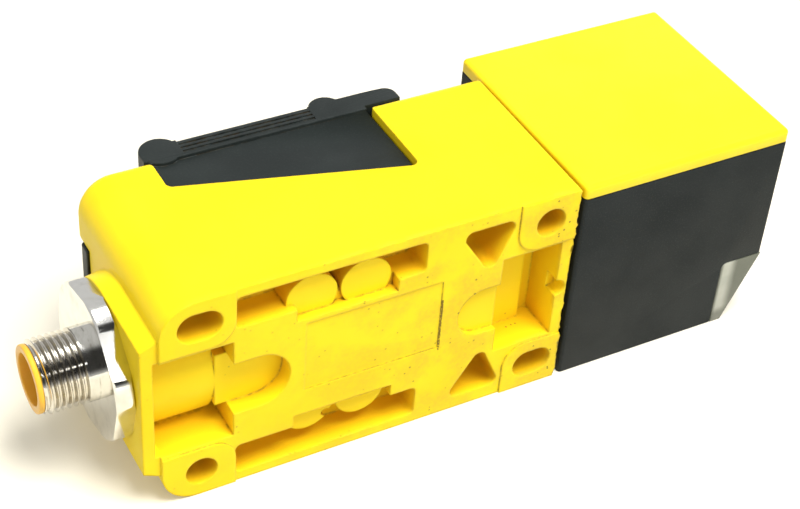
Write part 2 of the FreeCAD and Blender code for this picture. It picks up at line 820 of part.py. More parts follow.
def make_front_cover():
    """Make the hollow cover: cheeks, ridged rim, tongue between the towers and screw tab."""
    body = new_body("front_cover")
    low_x = seat_low_x + S.cover_clearance
    high_x = seat_high_x - S.cover_clearance
    lift = S.seat_gap + S.gasket_thickness
    cheek = half_width - S.cheek_recess
    rim = half_width - S.rim_recess
    rim_low = S.base_depth + S.rim_gap
    rim_top = S.base_depth + S.rim_height
    ridge_top = rim_top + S.ridge_height
    rim_low_x = seat_low_x - S.rim_overlap
    rim_high_x = seat_high_x + S.tab_length
    wedge = new_sketch(body, "XY_Plane")
    outline(wedge, [
        (low_x, seat_y(low_x) + lift, S.seat_corner_radius),
        (high_x, seat_y(high_x) + lift, S.seat_corner_radius),
        (high_x, rim_top),
        (low_x, rim_top),
    ])
    pad(body, wedge, cheek * 2, 1, True)
    crown = new_sketch(body, "XY_Plane")
    outline(crown, [
        (rim_low_x, rim_low),
        (low_x, rim_low),
        (low_x, rim_low - S.rim_lip),
        (high_x, rim_low - S.rim_lip),
        (high_x, rim_low),
        (rim_high_x, rim_low),
        (rim_high_x, rim_top, S.tab_radius),
        (rim_low_x, rim_top, S.rim_end_radius),
    ])
    pad(body, crown, rim * 2, 1, True)
    ridge_one_x = rim_low_x + S.ridge_connector_radius
    ridge_two_x = seat_high_x - S.ridge_head_inset
    for ridge_x, radius in ((ridge_one_x, S.ridge_connector_radius), (ridge_two_x, S.ridge_head_radius)):
        ridge = new_sketch(body, "XY_Plane")
        circle(ridge, ridge_x, ridge_top - radius, radius)
        pad(body, ridge, rim * 2, 1, True)
    grip_low_x = ridge_one_x + S.ridge_connector_radius
    grip_high_x = ridge_two_x - S.ridge_head_radius
    grip_floor = rim - S.grip_recess
    for side in (-1, 1):
        grip = new_sketch(body, "XY_Plane", grip_floor * side)
        rectangle(grip, grip_low_x, grip_high_x, rim_low, rim_top)
        pocket(body, grip, S.rim_recess + S.grip_recess, side)
        ribs = new_sketch(body, "XY_Plane", grip_floor * side)
        for step in (1, 2, 3):
            rib_y = rim_low + S.grip_rib_pitch * step - S.grip_rib_width / 2
            rectangle(ribs, grip_low_x, grip_high_x, rib_y, rib_y + S.grip_rib_width)
        pad(body, ribs, S.grip_rib_height, side)
    tongue = new_sketch(body, "XY_Plane")
    tongue_low = gap_floor + S.tongue_clearance
    tongue_low_x = connector_end - S.tongue_proud
    outline(tongue, [
        (tongue_low_x, tongue_low),
        (low_x + S.cover_wall, tongue_low),
        (low_x + S.cover_wall, tongue_low + S.tongue_rise),
        (rim_low_x, tongue_low + S.tongue_rise),
        (tongue_low_x, tongue_low + S.tongue_end_rise),
    ])
    pad(body, tongue, S.gap_width - S.tongue_clearance * 2, 1, True)
    hollow = new_sketch(body, "XY_Plane")
    hollow_low_x = low_x + S.cover_wall
    hollow_high_x = high_x - S.cover_wall
    outline(hollow, [
        (hollow_low_x, seat_y(hollow_low_x)),
        (hollow_high_x, seat_y(hollow_high_x)),
        (hollow_high_x, rim_top - S.cover_top),
        (hollow_low_x, rim_top - S.cover_top),
    ])
    pocket(body, hollow, (cheek - S.cover_wall) * 2, 1, True)
    screw_hole = new_sketch(body, "XZ_Plane", S.base_depth)
    circle(screw_hole, screw_x, 0.0, S.screw_hole_radius)
    pocket(body, screw_hole, S.rim_height)
    head_well = new_sketch(body, "XZ_Plane", rim_top - S.screw_head_height - S.screw_head_clearance)
    circle(head_well, screw_x, 0.0, S.screw_head_radius + S.screw_head_clearance)
    pocket(body, head_well, S.rim_height)
    return body


def make_cover_gasket():
    """Make the flat gasket that lies on the slanted mouth of the chamber."""
    body = new_body("cover_gasket")
    low_x = seat_low_x + S.cover_clearance + S.gasket_inset + S.seat_corner_radius
    high_x = seat_high_x - S.cover_clearance - S.gasket_inset - S.seat_corner_radius
    outer = half_width - S.cheek_recess - S.gasket_inset
    strip = new_sketch(body, "XY_Plane")
    outline(strip, [
        (low_x, seat_y(low_x) + S.seat_gap),
        (high_x, seat_y(high_x) + S.seat_gap),
        (high_x, seat_y(high_x) + S.seat_gap + S.gasket_thickness),
        (low_x, seat_y(low_x) + S.seat_gap + S.gasket_thickness),
    ])
    pad(body, strip, outer * 2, 1, True)
    mouth = new_sketch(body, "XZ_Plane")
    inner = outer - S.gasket_width
    rectangle(mouth, low_x + S.gasket_width, high_x - S.gasket_width, -inner, inner, S.seat_corner_radius)
    pocket(body, mouth, S.base_depth)
    return body


def make_cover_screw():
    """Make the slotted screw that holds the cover's tab."""
    body = new_body("cover_screw")
    head_low = S.base_depth + S.rim_height - S.screw_head_height - S.screw_head_clearance
    head = new_sketch(body, "XZ_Plane", head_low)
    circle(head, screw_x, 0.0, S.screw_head_radius)
    pad(body, head, S.screw_head_height)
    shank = new_sketch(body, "XZ_Plane", head_low)
    circle(shank, screw_x, 0.0, S.screw_shank_radius)
    pad(body, shank, S.screw_shank_length, -1)
    driver = new_sketch(body, "XZ_Plane", head_low + S.screw_head_height - S.screw_slot_depth)
    rectangle(driver, screw_x - S.screw_head_radius * 2, screw_x + S.screw_head_radius * 2,
              -S.screw_slot_width / 2, S.screw_slot_width / 2)
    pocket(body, driver, S.screw_slot_depth)
    return body


def make_cover_screw_insert():
    """Make the brass insert in the bulkhead under the cover's tab."""
    start = (screw_x, S.base_depth - S.insert_length, 0.0)
    return ring("cover_screw_insert", start, "y", S.insert_radius, S.insert_bore_radius, S.insert_length)


# Places along the plug
plug_front = boss_face - S.flange_thickness - S.thread_length
carrier_front = plug_front - S.carrier_proud
carrier_floor = carrier_front + S.carrier_cavity_depth
stub_end = boss_face + S.stub_length
carrier_rear = stub_end - S.carrier_tail
pin_rear = carrier_rear + S.pin_tail


def pin_places():
    """Give the four pins' places on their circle as (y, z)."""
    reach = S.pin_circle_radius * math.sqrt(0.5)
    return [(S.conduit_height + reach * a, reach * b) for a, b in ((1, 1), (-1, 1), (-1, -1), (1, -1))]


def make_connector_shell():
    """Make the plug body: hexagon flange, plain collar, thread cylinder and rear stub."""
    body = new_body("connector_shell")
    stub_radius = S.conduit_radius - S.stub_clearance
    flange_front = boss_face - S.flange_thickness
    profile = new_sketch(body, "XY_Plane", 0.0, 0.0, S.conduit_height)
    outline(profile, [
        (plug_front, S.plug_bore_radius),
        (stub_end, S.plug_bore_radius),
        (stub_end, stub_radius),
        (flange_front, stub_radius),
        (flange_front, S.thread_radius),
        (plug_front + S.thread_bevel, S.thread_radius),
        (plug_front, S.thread_radius - S.thread_bevel),
    ])
    turn(body, "Revolution", profile)
    hexagon = new_sketch(body, "YZ_Plane", boss_face, S.conduit_height)
    corner_radius = S.flange_across_flats / math.sqrt(3)
    hexagon_corners = []
    for step in range(6):
        angle = math.radians(float(S.flange_turn) + 60 * step)
        hexagon_corners.append((corner_radius * math.cos(angle), corner_radius * math.sin(angle)))
    outline(hexagon, hexagon_corners)
    bore = S.conduit_radius - S.stub_clearance * 2
    circle(hexagon, 0.0, 0.0, bore)
    pad(body, hexagon, S.flange_thickness, -1)
    # The corners are turned off, with a bevel at each face
    corners = new_sketch(body, "XY_Plane", 0.0, 0.0, S.conduit_height)
    clear = S.flange_across_flats
    outline(corners, [
        (flange_front - S.flange_bevel, S.flange_turned_radius - S.flange_bevel * 2),
        (flange_front + S.flange_bevel, S.flange_turned_radius),
        (boss_face - S.flange_bevel, S.flange_turned_radius),
        (boss_face + S.flange_bevel, S.flange_turned_radius - S.flange_bevel * 2),
        (boss_face + S.flange_bevel, clear),
        (flange_front - S.flange_bevel, clear),
    ])
    turn(body, "Groove", corners)
    return body


def make_contact_carrier():
    """Make the plug's insert, with its round cavity and pin holes."""
    body = new_body("contact_carrier")
    outer = S.plug_bore_radius - S.carrier_clearance
    profile = new_sketch(body, "XY_Plane", 0.0, 0.0, S.conduit_height)
    lip = S.plug_bore_radius + S.carrier_lip
    outline(profile, [
        (carrier_front, S.carrier_cavity_radius),
        (carrier_floor, S.carrier_cavity_radius),
        (carrier_floor, 0.0),
        (carrier_rear, 0.0),
        (carrier_rear, outer),
        (plug_front, outer),
        (plug_front, lip),
        (carrier_front, lip),
    ])
    turn(body, "Revolution", profile)
    holes = new_sketch(body, "YZ_Plane", carrier_front)
    for y, z in pin_places():
        circle(holes, y, z, S.pin_radius + S.press_clearance)
    pocket(body, holes, carrier_rear - carrier_front)
    return body


def make_contact_pins():
    """Make the plug's four pins."""
    body = new_body("contact_pins")
    start = carrier_front + S.pin_setback
    pins = new_sketch(body, "YZ_Plane", start)
    for y, z in pin_places():
        circle(pins, y, z, S.pin_radius)
    pad(body, pins, pin_rear - start)
    return body


def make_connector_seal():
    """Make the flat sealing ring under the plug's flange."""
    start = (boss_face, S.conduit_height, 0.0)
    inner = S.conduit_radius + S.seal_clearance
    return ring("connector_seal", start, "x", inner + S.seal_section, inner, S.seal_section)


# Terminal block in the chamber
block_high_x = chamber_high_x - S.terminal_setback
block_low_x = block_high_x - S.terminal_length
block_top = chamber_floor + S.terminal_height
terminal_places = [S.terminal_pitch * step for step in (-1.5, -0.5, 0.5, 1.5)]
block_half = S.terminal_pitch * 2 + S.terminal_barrier_wall / 2
clamp_low_x = (block_low_x + block_high_x - S.clamp_length) / 2


def make_terminal_block():
    """Make the terminal block with barriers between its ways."""
    body = new_body("terminal_block")
    block = new_sketch(body, "XZ_Plane", chamber_floor)
    rectangle(block, block_low_x, block_high_x, -block_half, block_half)
    pad(body, block, S.terminal_height)
    barriers = new_sketch(body, "XZ_Plane", block_top)
    for step in range(5):
        barrier_z = S.terminal_pitch * (step - 2) - S.terminal_barrier_wall / 2
        rectangle(barriers, block_low_x, block_high_x, barrier_z, barrier_z + S.terminal_barrier_wall)
    pad(body, barriers, S.terminal_barrier)
    return body


def make_terminal_clamps():
    """Make the four clamp plates on the block."""
    plates = []
    for place_z in terminal_places:
        low = (clamp_low_x, block_top, place_z - S.clamp_width / 2)
        plates.append(box("clamp_plate", low, (S.clamp_length, S.clamp_height, S.clamp_width)))
    return group("terminal_clamps", plates)


def make_terminal_screws():
    """Make the four clamp screws' heads."""
    screws = []
    for place_z in terminal_places:
        start = (clamp_low_x + S.clamp_length / 2, block_top + S.clamp_height, place_z)
        screws.append(cylinder("clamp_screw", start, "y", S.terminal_screw_radius, S.terminal_screw_height))
    return group("terminal_screws", screws)


def make_leads():
    """Make the leads from the plug's pins to the terminals."""
    entry_y = chamber_floor + S.lead_entry_height
    reach_x = block_low_x - S.lead_bend
    order = (3, 2, 1, 0)
    leads = []
    for name, (y, z), way in zip(("brown", "white", "blue", "black"), pin_places(), order):
        points = [
            (pin_rear + S.lead_gap, y, z),
            (reach_x, entry_y, terminal_places[way]),
            (block_low_x, entry_y, terminal_places[way]),
        ]
        leads.append(tube(f"lead_{name}", points, S.lead_radius, S.lead_bend))
    return leads


def make_head_lead_loop():
    """Make the bundle from the terminals through the duct to the turning axis."""
    rise_x = (socket_floor + spigot_end) / 2
    points = [
        (block_high_x, duct_y, 0.0),
        (rise_x, duct_y, 0.0),
        (rise_x, axis_y, 0.0),
        (spigot_end - S.bundle_gap, axis_y, 0.0),
    ]
    return tube("head_lead_loop", points, S.bundle_radius)


# Places in the sensing head
head_half = S.head_width / 2
cap_low = head_half - S.cap_thickness
bevel_x = head_finish - S.bevel_length
bevel_z = S.bevel_height - head_half
window_x = head_finish - S.window_length
lamp_x = bevel_x - S.led_length / 2
head_centre_x = head_start + S.head_length / 2
board_top = -S.bundle_radius
board_low = board_top - S.board_thickness
core_low = cap_low - S.core_thickness


def make_head_housing():
    """Make the head's shell with its bevel, windows' openings and turning spigot."""
    body = new_body("head_housing")
    shell = new_sketch(body, "XZ_Plane")
    outline(shell, [
        (head_start, -head_half),
        (bevel_x, -head_half),
        (head_finish, bevel_z),
        (head_finish, cap_low),
        (head_start, cap_low),
    ])
    pad(body, shell, S.head_depth)

    def upright(edge):
        """Pick the upright edges at both ends of the head."""
        ends = flat_at(edge, "x", head_start) or flat_at(edge, "x", head_finish)
        return ends and (flat_at(edge, "y", 0.0) or flat_at(edge, "y", S.head_depth))

    round_edges(body, S.head_edge_radius, upright)
    hollow = new_sketch(body, "XZ_Plane", S.head_wall)
    outline(hollow, [
        (head_start + S.head_wall, S.head_wall - head_half),
        (bevel_x - S.head_wall / 2, S.head_wall - head_half),
        (head_finish - S.head_wall, bevel_z),
        (head_finish - S.head_wall, cap_low),
        (head_start + S.head_wall, cap_low),
    ])
    pocket(body, hollow, S.head_depth - S.head_wall * 2)
    for low_y in (0.0, S.head_depth - S.window_thickness):
        opening = new_sketch(body, "XZ_Plane", low_y)
        outline(opening, [
            (window_x, -head_half),
            (bevel_x + S.head_length, -head_half),
            (head_finish + S.head_length, bevel_z),
            (window_x, bevel_z, S.window_corner_radius),
        ])
        pocket(body, opening, S.window_thickness)
    ledges = new_sketch(body, "XY_Plane", board_low)
    ledge_high_x = lamp_x - S.board_ledge_setback
    ledge_low_x = ledge_high_x - S.board_ledge_length
    for low_y in (S.head_wall, S.head_depth - S.head_wall - S.board_ledge_width):
        rectangle(ledges, ledge_low_x, ledge_high_x, low_y, low_y + S.board_ledge_width)
    pad(body, ledges, S.board_ledge_height, -1)
    spigot = new_sketch(body, "YZ_Plane", spigot_end)
    circle(spigot, axis_y, 0.0, spigot_radius)
    pad(body, spigot, S.spigot_length)
    spigot_bore = new_sketch(body, "YZ_Plane", spigot_end)
    circle(spigot_bore, axis_y, 0.0, S.spigot_bore_radius)
    pocket(body, spigot_bore, S.spigot_length + S.head_wall)
    ring_depth = spigot_radius - S.ring_groove_depth
    seal_depth = S.socket_radius - S.head_seal_section
    for low_x, width, depth in (
        (ring_groove_low, ring_groove_width, ring_depth),
        (seal_x - S.head_seal_section / 2 - S.ring_play, S.head_seal_section + S.ring_play * 2, seal_depth),
    ):
        groove = new_sketch(body, "YZ_Plane", low_x)
        circle(groove, axis_y, 0.0, S.socket_radius)
        circle(groove, axis_y, 0.0, depth)
        pocket(body, groove, width)
    return body


def make_active_face_cap():
    """Make the plate that closes the head on its sensing side."""
    body = new_body("active_face_cap")
    plate = new_sketch(body, "XY_Plane", cap_low)
    rectangle(plate, head_start, head_finish, 0.0, S.head_depth)
    pad(body, plate, S.cap_thickness)
    round_edges(body, S.cap_edge_radius, lambda edge: not flat_at(edge, "z", cap_low))
    rim = new_sketch(body, "XY_Plane", cap_low)
    inset = S.head_wall + S.cap_clearance
    for margin in (inset, inset + S.cap_rim_wall):
        rectangle(rim, head_start + margin, head_finish - margin, margin, S.head_depth - margin)
    pad(body, rim, S.cap_rim_height, -1)
    return body


def make_led_window(label, low_y):
    """Make one translucent corner window, flush with the head's side and bevel."""
    body = new_body(label)
    pane = new_sketch(body, "XZ_Plane", low_y)
    outline(pane, [
        (window_x, -head_half),
        (bevel_x, -head_half),
        (head_finish, bevel_z),
        (window_x, bevel_z, S.window_corner_radius + S.window_clearance),
    ])
    pad(body, pane, S.window_thickness)
    return body


def make_coil():
    """Make the pot core, its bobbin and the winding, open towards the active face."""
    start = (head_centre_x, axis_y, core_low)
    groove_low = cap_low - S.core_groove_depth
    groove_start = (head_centre_x, axis_y, groove_low)
    core = doc.addObject("Part::Cut", "ferrite_core")
    core.Base = cylinder("core_block", start, "z", S.core_radius, S.core_thickness)
    core.Tool = ring("core_groove", groove_start, "z", S.core_groove_outer, S.core_groove_inner,
                     S.core_groove_depth)
    spool_outer = S.core_groove_outer - S.bobbin_clearance
    spool_inner = S.core_groove_inner + S.bobbin_clearance
    spool_low = groove_low
    spool_height = S.core_groove_depth - S.coil_clearance
    winding_inner = spool_inner + S.bobbin_wall
    winding_height = spool_height - S.bobbin_wall
    spool_start = (head_centre_x, axis_y, spool_low)
    winding_start = (head_centre_x, axis_y, spool_low + S.bobbin_wall)
    bobbin = doc.addObject("Part::Cut", "coil_bobbin")
    bobbin.Base = ring("spool", spool_start, "z", spool_outer, spool_inner, spool_height)
    bobbin.Tool = ring("spool_channel", winding_start, "z", S.core_radius, winding_inner, winding_height)
    coil_inner = winding_inner + S.coil_clearance
    coil = ring("sensing_coil", winding_start, "z", spool_outer - S.bobbin_wall, coil_inner,
                winding_height - S.bobbin_wall)
    return [core, bobbin, coil]


def make_electronics():
    """Make the circuit board, its components and the indicator lamps."""
    inset = S.head_wall + S.board_clearance
    board_span = S.head_length - inset * 2
    board = box("circuit_board", (head_start + inset, inset, board_low),
                (board_span, S.head_depth - inset * 2, S.board_thickness))
    parts = []
    for step in (-1, 0, 1):
        low = (head_centre_x + S.chip_pitch * step - S.chip_length / 2, axis_y + S.chip_width, board_top)
        parts.append(box("chip", low, (S.chip_length, S.chip_width, S.chip_height)))
    for step in (0, 1):
        low = (head_centre_x + S.chip_pitch * step, axis_y - S.chip_width * 2, board_top)
        parts.append(box("capacitor", low, (S.capacitor_length, S.capacitor_width, S.capacitor_height)))
    lamps = []
    for low_y in (S.window_thickness, S.head_depth - S.window_thickness - S.led_width):
        low = (lamp_x, low_y, board_low - S.led_height)
        lamps.append(box("lamp", low, (S.led_length, S.led_width, S.led_height)))
    return [board, group("board_components", parts), group("indicator_leds", lamps)]


def make_head_fittings():
    """Make the snap ring, seal and leads of the turning spigot."""
    snap_outer = S.socket_radius + S.ring_groove_depth - S.ring_clearance
    snap_inner = spigot_radius - S.ring_groove_depth
    snap = doc.addObject("Part::Cut", "head_snap_ring")
    snap.Base = ring("snap_round", (ring_low, axis_y, 0.0), "x", snap_outer, snap_inner, S.ring_section)
    snap.Tool = box("snap_opening", (ring_low, axis_y, -S.ring_opening / 2),
                    (S.ring_section, S.socket_radius * 2, S.ring_opening))
    seal_low = seal_x - S.head_seal_section / 2
    seal_inner = S.socket_radius - S.head_seal_section
    seal = ring("head_seal", (seal_low, axis_y, 0.0), "x", spigot_radius, seal_inner, S.head_seal_section)
    leads = cylinder("head_leads", (spigot_end, axis_y, 0.0), "x", S.bundle_radius,
                     head_start + S.head_wall * 2 - spigot_end)
    return [snap, seal, leads]


nodes = [
    make_base_housing(),
    make_front_cover(),
    make_cover_gasket(),
    make_cover_screw(),
    make_cover_screw_insert(),
    make_connector_shell(),
    make_contact_carrier(),
    make_contact_pins(),
    make_connector_seal(),
    make_terminal_block(),
    make_terminal_clamps(),
    make_terminal_screws(),
    make_head_lead_loop(),
    make_head_housing(),
    make_active_face_cap(),
    make_led_window("led_window_mount_side", 0.0),
    make_led_window("led_window_front_side", S.head_depth - S.window_thickness),
]
nodes += make_leads()
nodes += make_coil()
nodes += make_electronics()
nodes += make_head_fittings()

doc.recompute()
for item in doc.Objects:
    if "Invalid" in item.State or "Error" in item.State:
        raise ValueError(f"{item.Label} failed: {item.State}")
for node in nodes:
    if node.Shape.isNull() or not node.Shape.isValid():
        raise ValueError(f"{node.Label} has no valid shape")
os.makedirs("parts", exist_ok=True)
for node in nodes:
    node.Shape.exportStep(f"parts/{node.Label}.step")
    print(f"{node.Label}: {len(node.Shape.Solids)} solids, {node.Shape.Volume:.1f} mm3")
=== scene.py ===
"""Dress the proximity switch: finishes, softened mouldings, plug thread, screws, studio and camera.

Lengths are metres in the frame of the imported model: +X runs to the sensing head, +Y to the front cover and
+Z up, with the switch lying on its side.
"""
import logging
import math
from dataclasses import dataclass, field
from enum import Enum
from typing import Sequence, Union

import bmesh
import bpy
from mathutils import Matrix, Vector, noise


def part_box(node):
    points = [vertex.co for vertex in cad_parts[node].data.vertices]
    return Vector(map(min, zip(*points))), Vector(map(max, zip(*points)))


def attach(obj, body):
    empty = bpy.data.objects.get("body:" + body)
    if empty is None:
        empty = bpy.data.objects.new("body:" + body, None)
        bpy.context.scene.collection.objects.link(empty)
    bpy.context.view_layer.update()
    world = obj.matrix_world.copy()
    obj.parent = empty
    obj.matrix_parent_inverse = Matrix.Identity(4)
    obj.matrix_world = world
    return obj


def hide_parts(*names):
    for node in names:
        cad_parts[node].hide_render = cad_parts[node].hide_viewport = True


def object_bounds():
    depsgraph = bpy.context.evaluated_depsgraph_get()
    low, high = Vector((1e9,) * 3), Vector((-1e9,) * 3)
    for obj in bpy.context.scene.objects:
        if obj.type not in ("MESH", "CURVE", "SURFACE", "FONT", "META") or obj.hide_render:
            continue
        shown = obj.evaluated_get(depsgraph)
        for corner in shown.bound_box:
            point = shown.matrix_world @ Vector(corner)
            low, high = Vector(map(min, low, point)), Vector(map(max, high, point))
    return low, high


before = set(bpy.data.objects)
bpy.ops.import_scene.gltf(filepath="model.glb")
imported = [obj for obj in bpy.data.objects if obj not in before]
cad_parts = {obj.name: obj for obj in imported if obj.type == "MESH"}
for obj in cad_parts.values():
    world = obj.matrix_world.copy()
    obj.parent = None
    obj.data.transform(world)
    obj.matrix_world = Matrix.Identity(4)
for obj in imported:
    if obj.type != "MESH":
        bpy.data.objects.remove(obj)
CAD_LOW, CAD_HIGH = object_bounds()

Colour = tuple[float, float, float]
Point = tuple[float, float, float]
Span = tuple[float, float]
Source = Union[bpy.types.NodeSocket, float, Colour]

MM = 0.001
TIGHT = 0.01 * MM
LOG = logging.getLogger("switch")


class Body(Enum):
    """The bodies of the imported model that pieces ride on."""

    BASE = "base_unit"
    COVER = "cover_unit"
    SCREW = "screw_unit"
    HEAD = "head_unit"


class NodeSheet:
    """A node tree with short calls to add nodes and join their sockets."""

    def __init__(self, tree: bpy.types.NodeTree) -> None:
        """Start on an existing tree.

        Args:
            tree: the tree to add nodes to.
        """
        self.tree = tree

    def add(self, kind: str, **settings: object) -> bpy.types.Node:
        """Add a node.

        Args:
            kind: the node's Blender type.
            settings: properties of the node to set.

        Returns:
            The new node.
        """
        node = self.tree.nodes.new(kind)
        for name, value in settings.items():
            setattr(node, name, value)
        return node

    def feed(self, target: bpy.types.NodeSocket, source: Source) -> None:
        """Join a socket to a target, or set a plain value on it.

        Args:
            target: the input socket.
            source: an output socket, a number or a colour.
        """
        if isinstance(source, bpy.types.NodeSocket):
            self.tree.links.new(source, target)
        elif isinstance(source, tuple) and len(source) == 3 and target.type == "RGBA":
            target.default_value = (*source, 1.0)
        else:
            target.default_value = source

    def sum(self, operation: str, first: Source, second: Source = 0.0) -> bpy.types.NodeSocket:
        """Work out one value from two.

        Args:
            operation: the Math node's operation.
            first: a socket or a number.
            second: a socket or a number.

        Returns:
            The result's socket.
        """
        node = self.add("ShaderNodeMath", operation=operation)
        self.feed(node.inputs[0], first)
        self.feed(node.inputs[1], second)
        return node.outputs[0]

    def span(self, value: Source, low: float, high: float, start: float = 0.0,
             end: float = 1.0) -> bpy.types.NodeSocket:
        """Map a value smoothly from one range onto another.

        Args:
            value: the socket to map.
            low: value that gives start.
            high: value that gives end.
            start: result at low.
            end: result at high.

        Returns:
            The result's socket.
        """
        node = self.add("ShaderNodeMapRange", interpolation_type="SMOOTHSTEP")
        for socket, source in zip(node.inputs, (value, low, high, start, end)):
            self.feed(socket, source)
        return node.outputs[0]

    def blend(self, factor: Source, first: Source, second: Source) -> bpy.types.NodeSocket:
        """Mix two colours.

        Args:
            factor: share of the second colour.
            first: a colour or its socket.
            second: a colour or its socket.

        Returns:
            The mixed colour's socket.
        """
        node = self.add("ShaderNodeMix", data_type="RGBA")
        self.feed(node.inputs["Factor"], factor)
        self.feed(node.inputs[6], first)
        self.feed(node.inputs[7], second)
        return node.outputs[2]

    def cloud(self, vector: Source, scale: Source, detail: float = 2.0,
              rough: float = 0.5) -> bpy.types.NodeSocket:
        """Add a noise texture.

        Args:
            vector: coordinates.
            scale: waves per metre.
            detail: octaves of finer noise.
            rough: strength of the finer noise.

        Returns:
            The noise value's socket.
        """
        node = self.add("ShaderNodeTexNoise")
        self.feed(node.inputs["Vector"], vector)
        self.feed(node.inputs["Scale"], scale)
        node.inputs["Detail"].default_value = detail
        node.inputs["Roughness"].default_value = rough
        return node.outputs["Fac"]

    def product(self, *factors: Source) -> bpy.types.NodeSocket:
        """Multiply values.

        Args:
            factors: sockets or numbers, two or more.

        Returns:
            The product's socket.
        """
        result = factors[0]
        for factor in factors[1:]:
            result = self.sum("MULTIPLY", result, factor)
        return result

    def axes(self, vector: Source) -> tuple[bpy.types.NodeSocket, ...]:
        """Split a vector.

        Args:
            vector: its socket.

        Returns:
            The sockets of its X, Y and Z.
        """
        split = self.add("ShaderNodeSeparateXYZ")
        self.feed(split.inputs[0], vector)
        return tuple(split.outputs)

    def effect(self, group: bpy.types.NodeTree, **values: Source) -> bpy.types.Node:
        """Place a shared effect.

        Args:
            group: the effect's node group.
            values: its inputs by name.

        Returns:
            The group node.
        """
        node = self.add("ShaderNodeGroup")
        node.node_tree = group
        for name, value in values.items():
            self.feed(node.inputs[name], value)
        return node


@dataclass(frozen=True)
class EffectSocket:
    """One input or output of a shared effect."""

    name: str
    kind: str = "NodeSocketFloat"
    leaves: bool = False


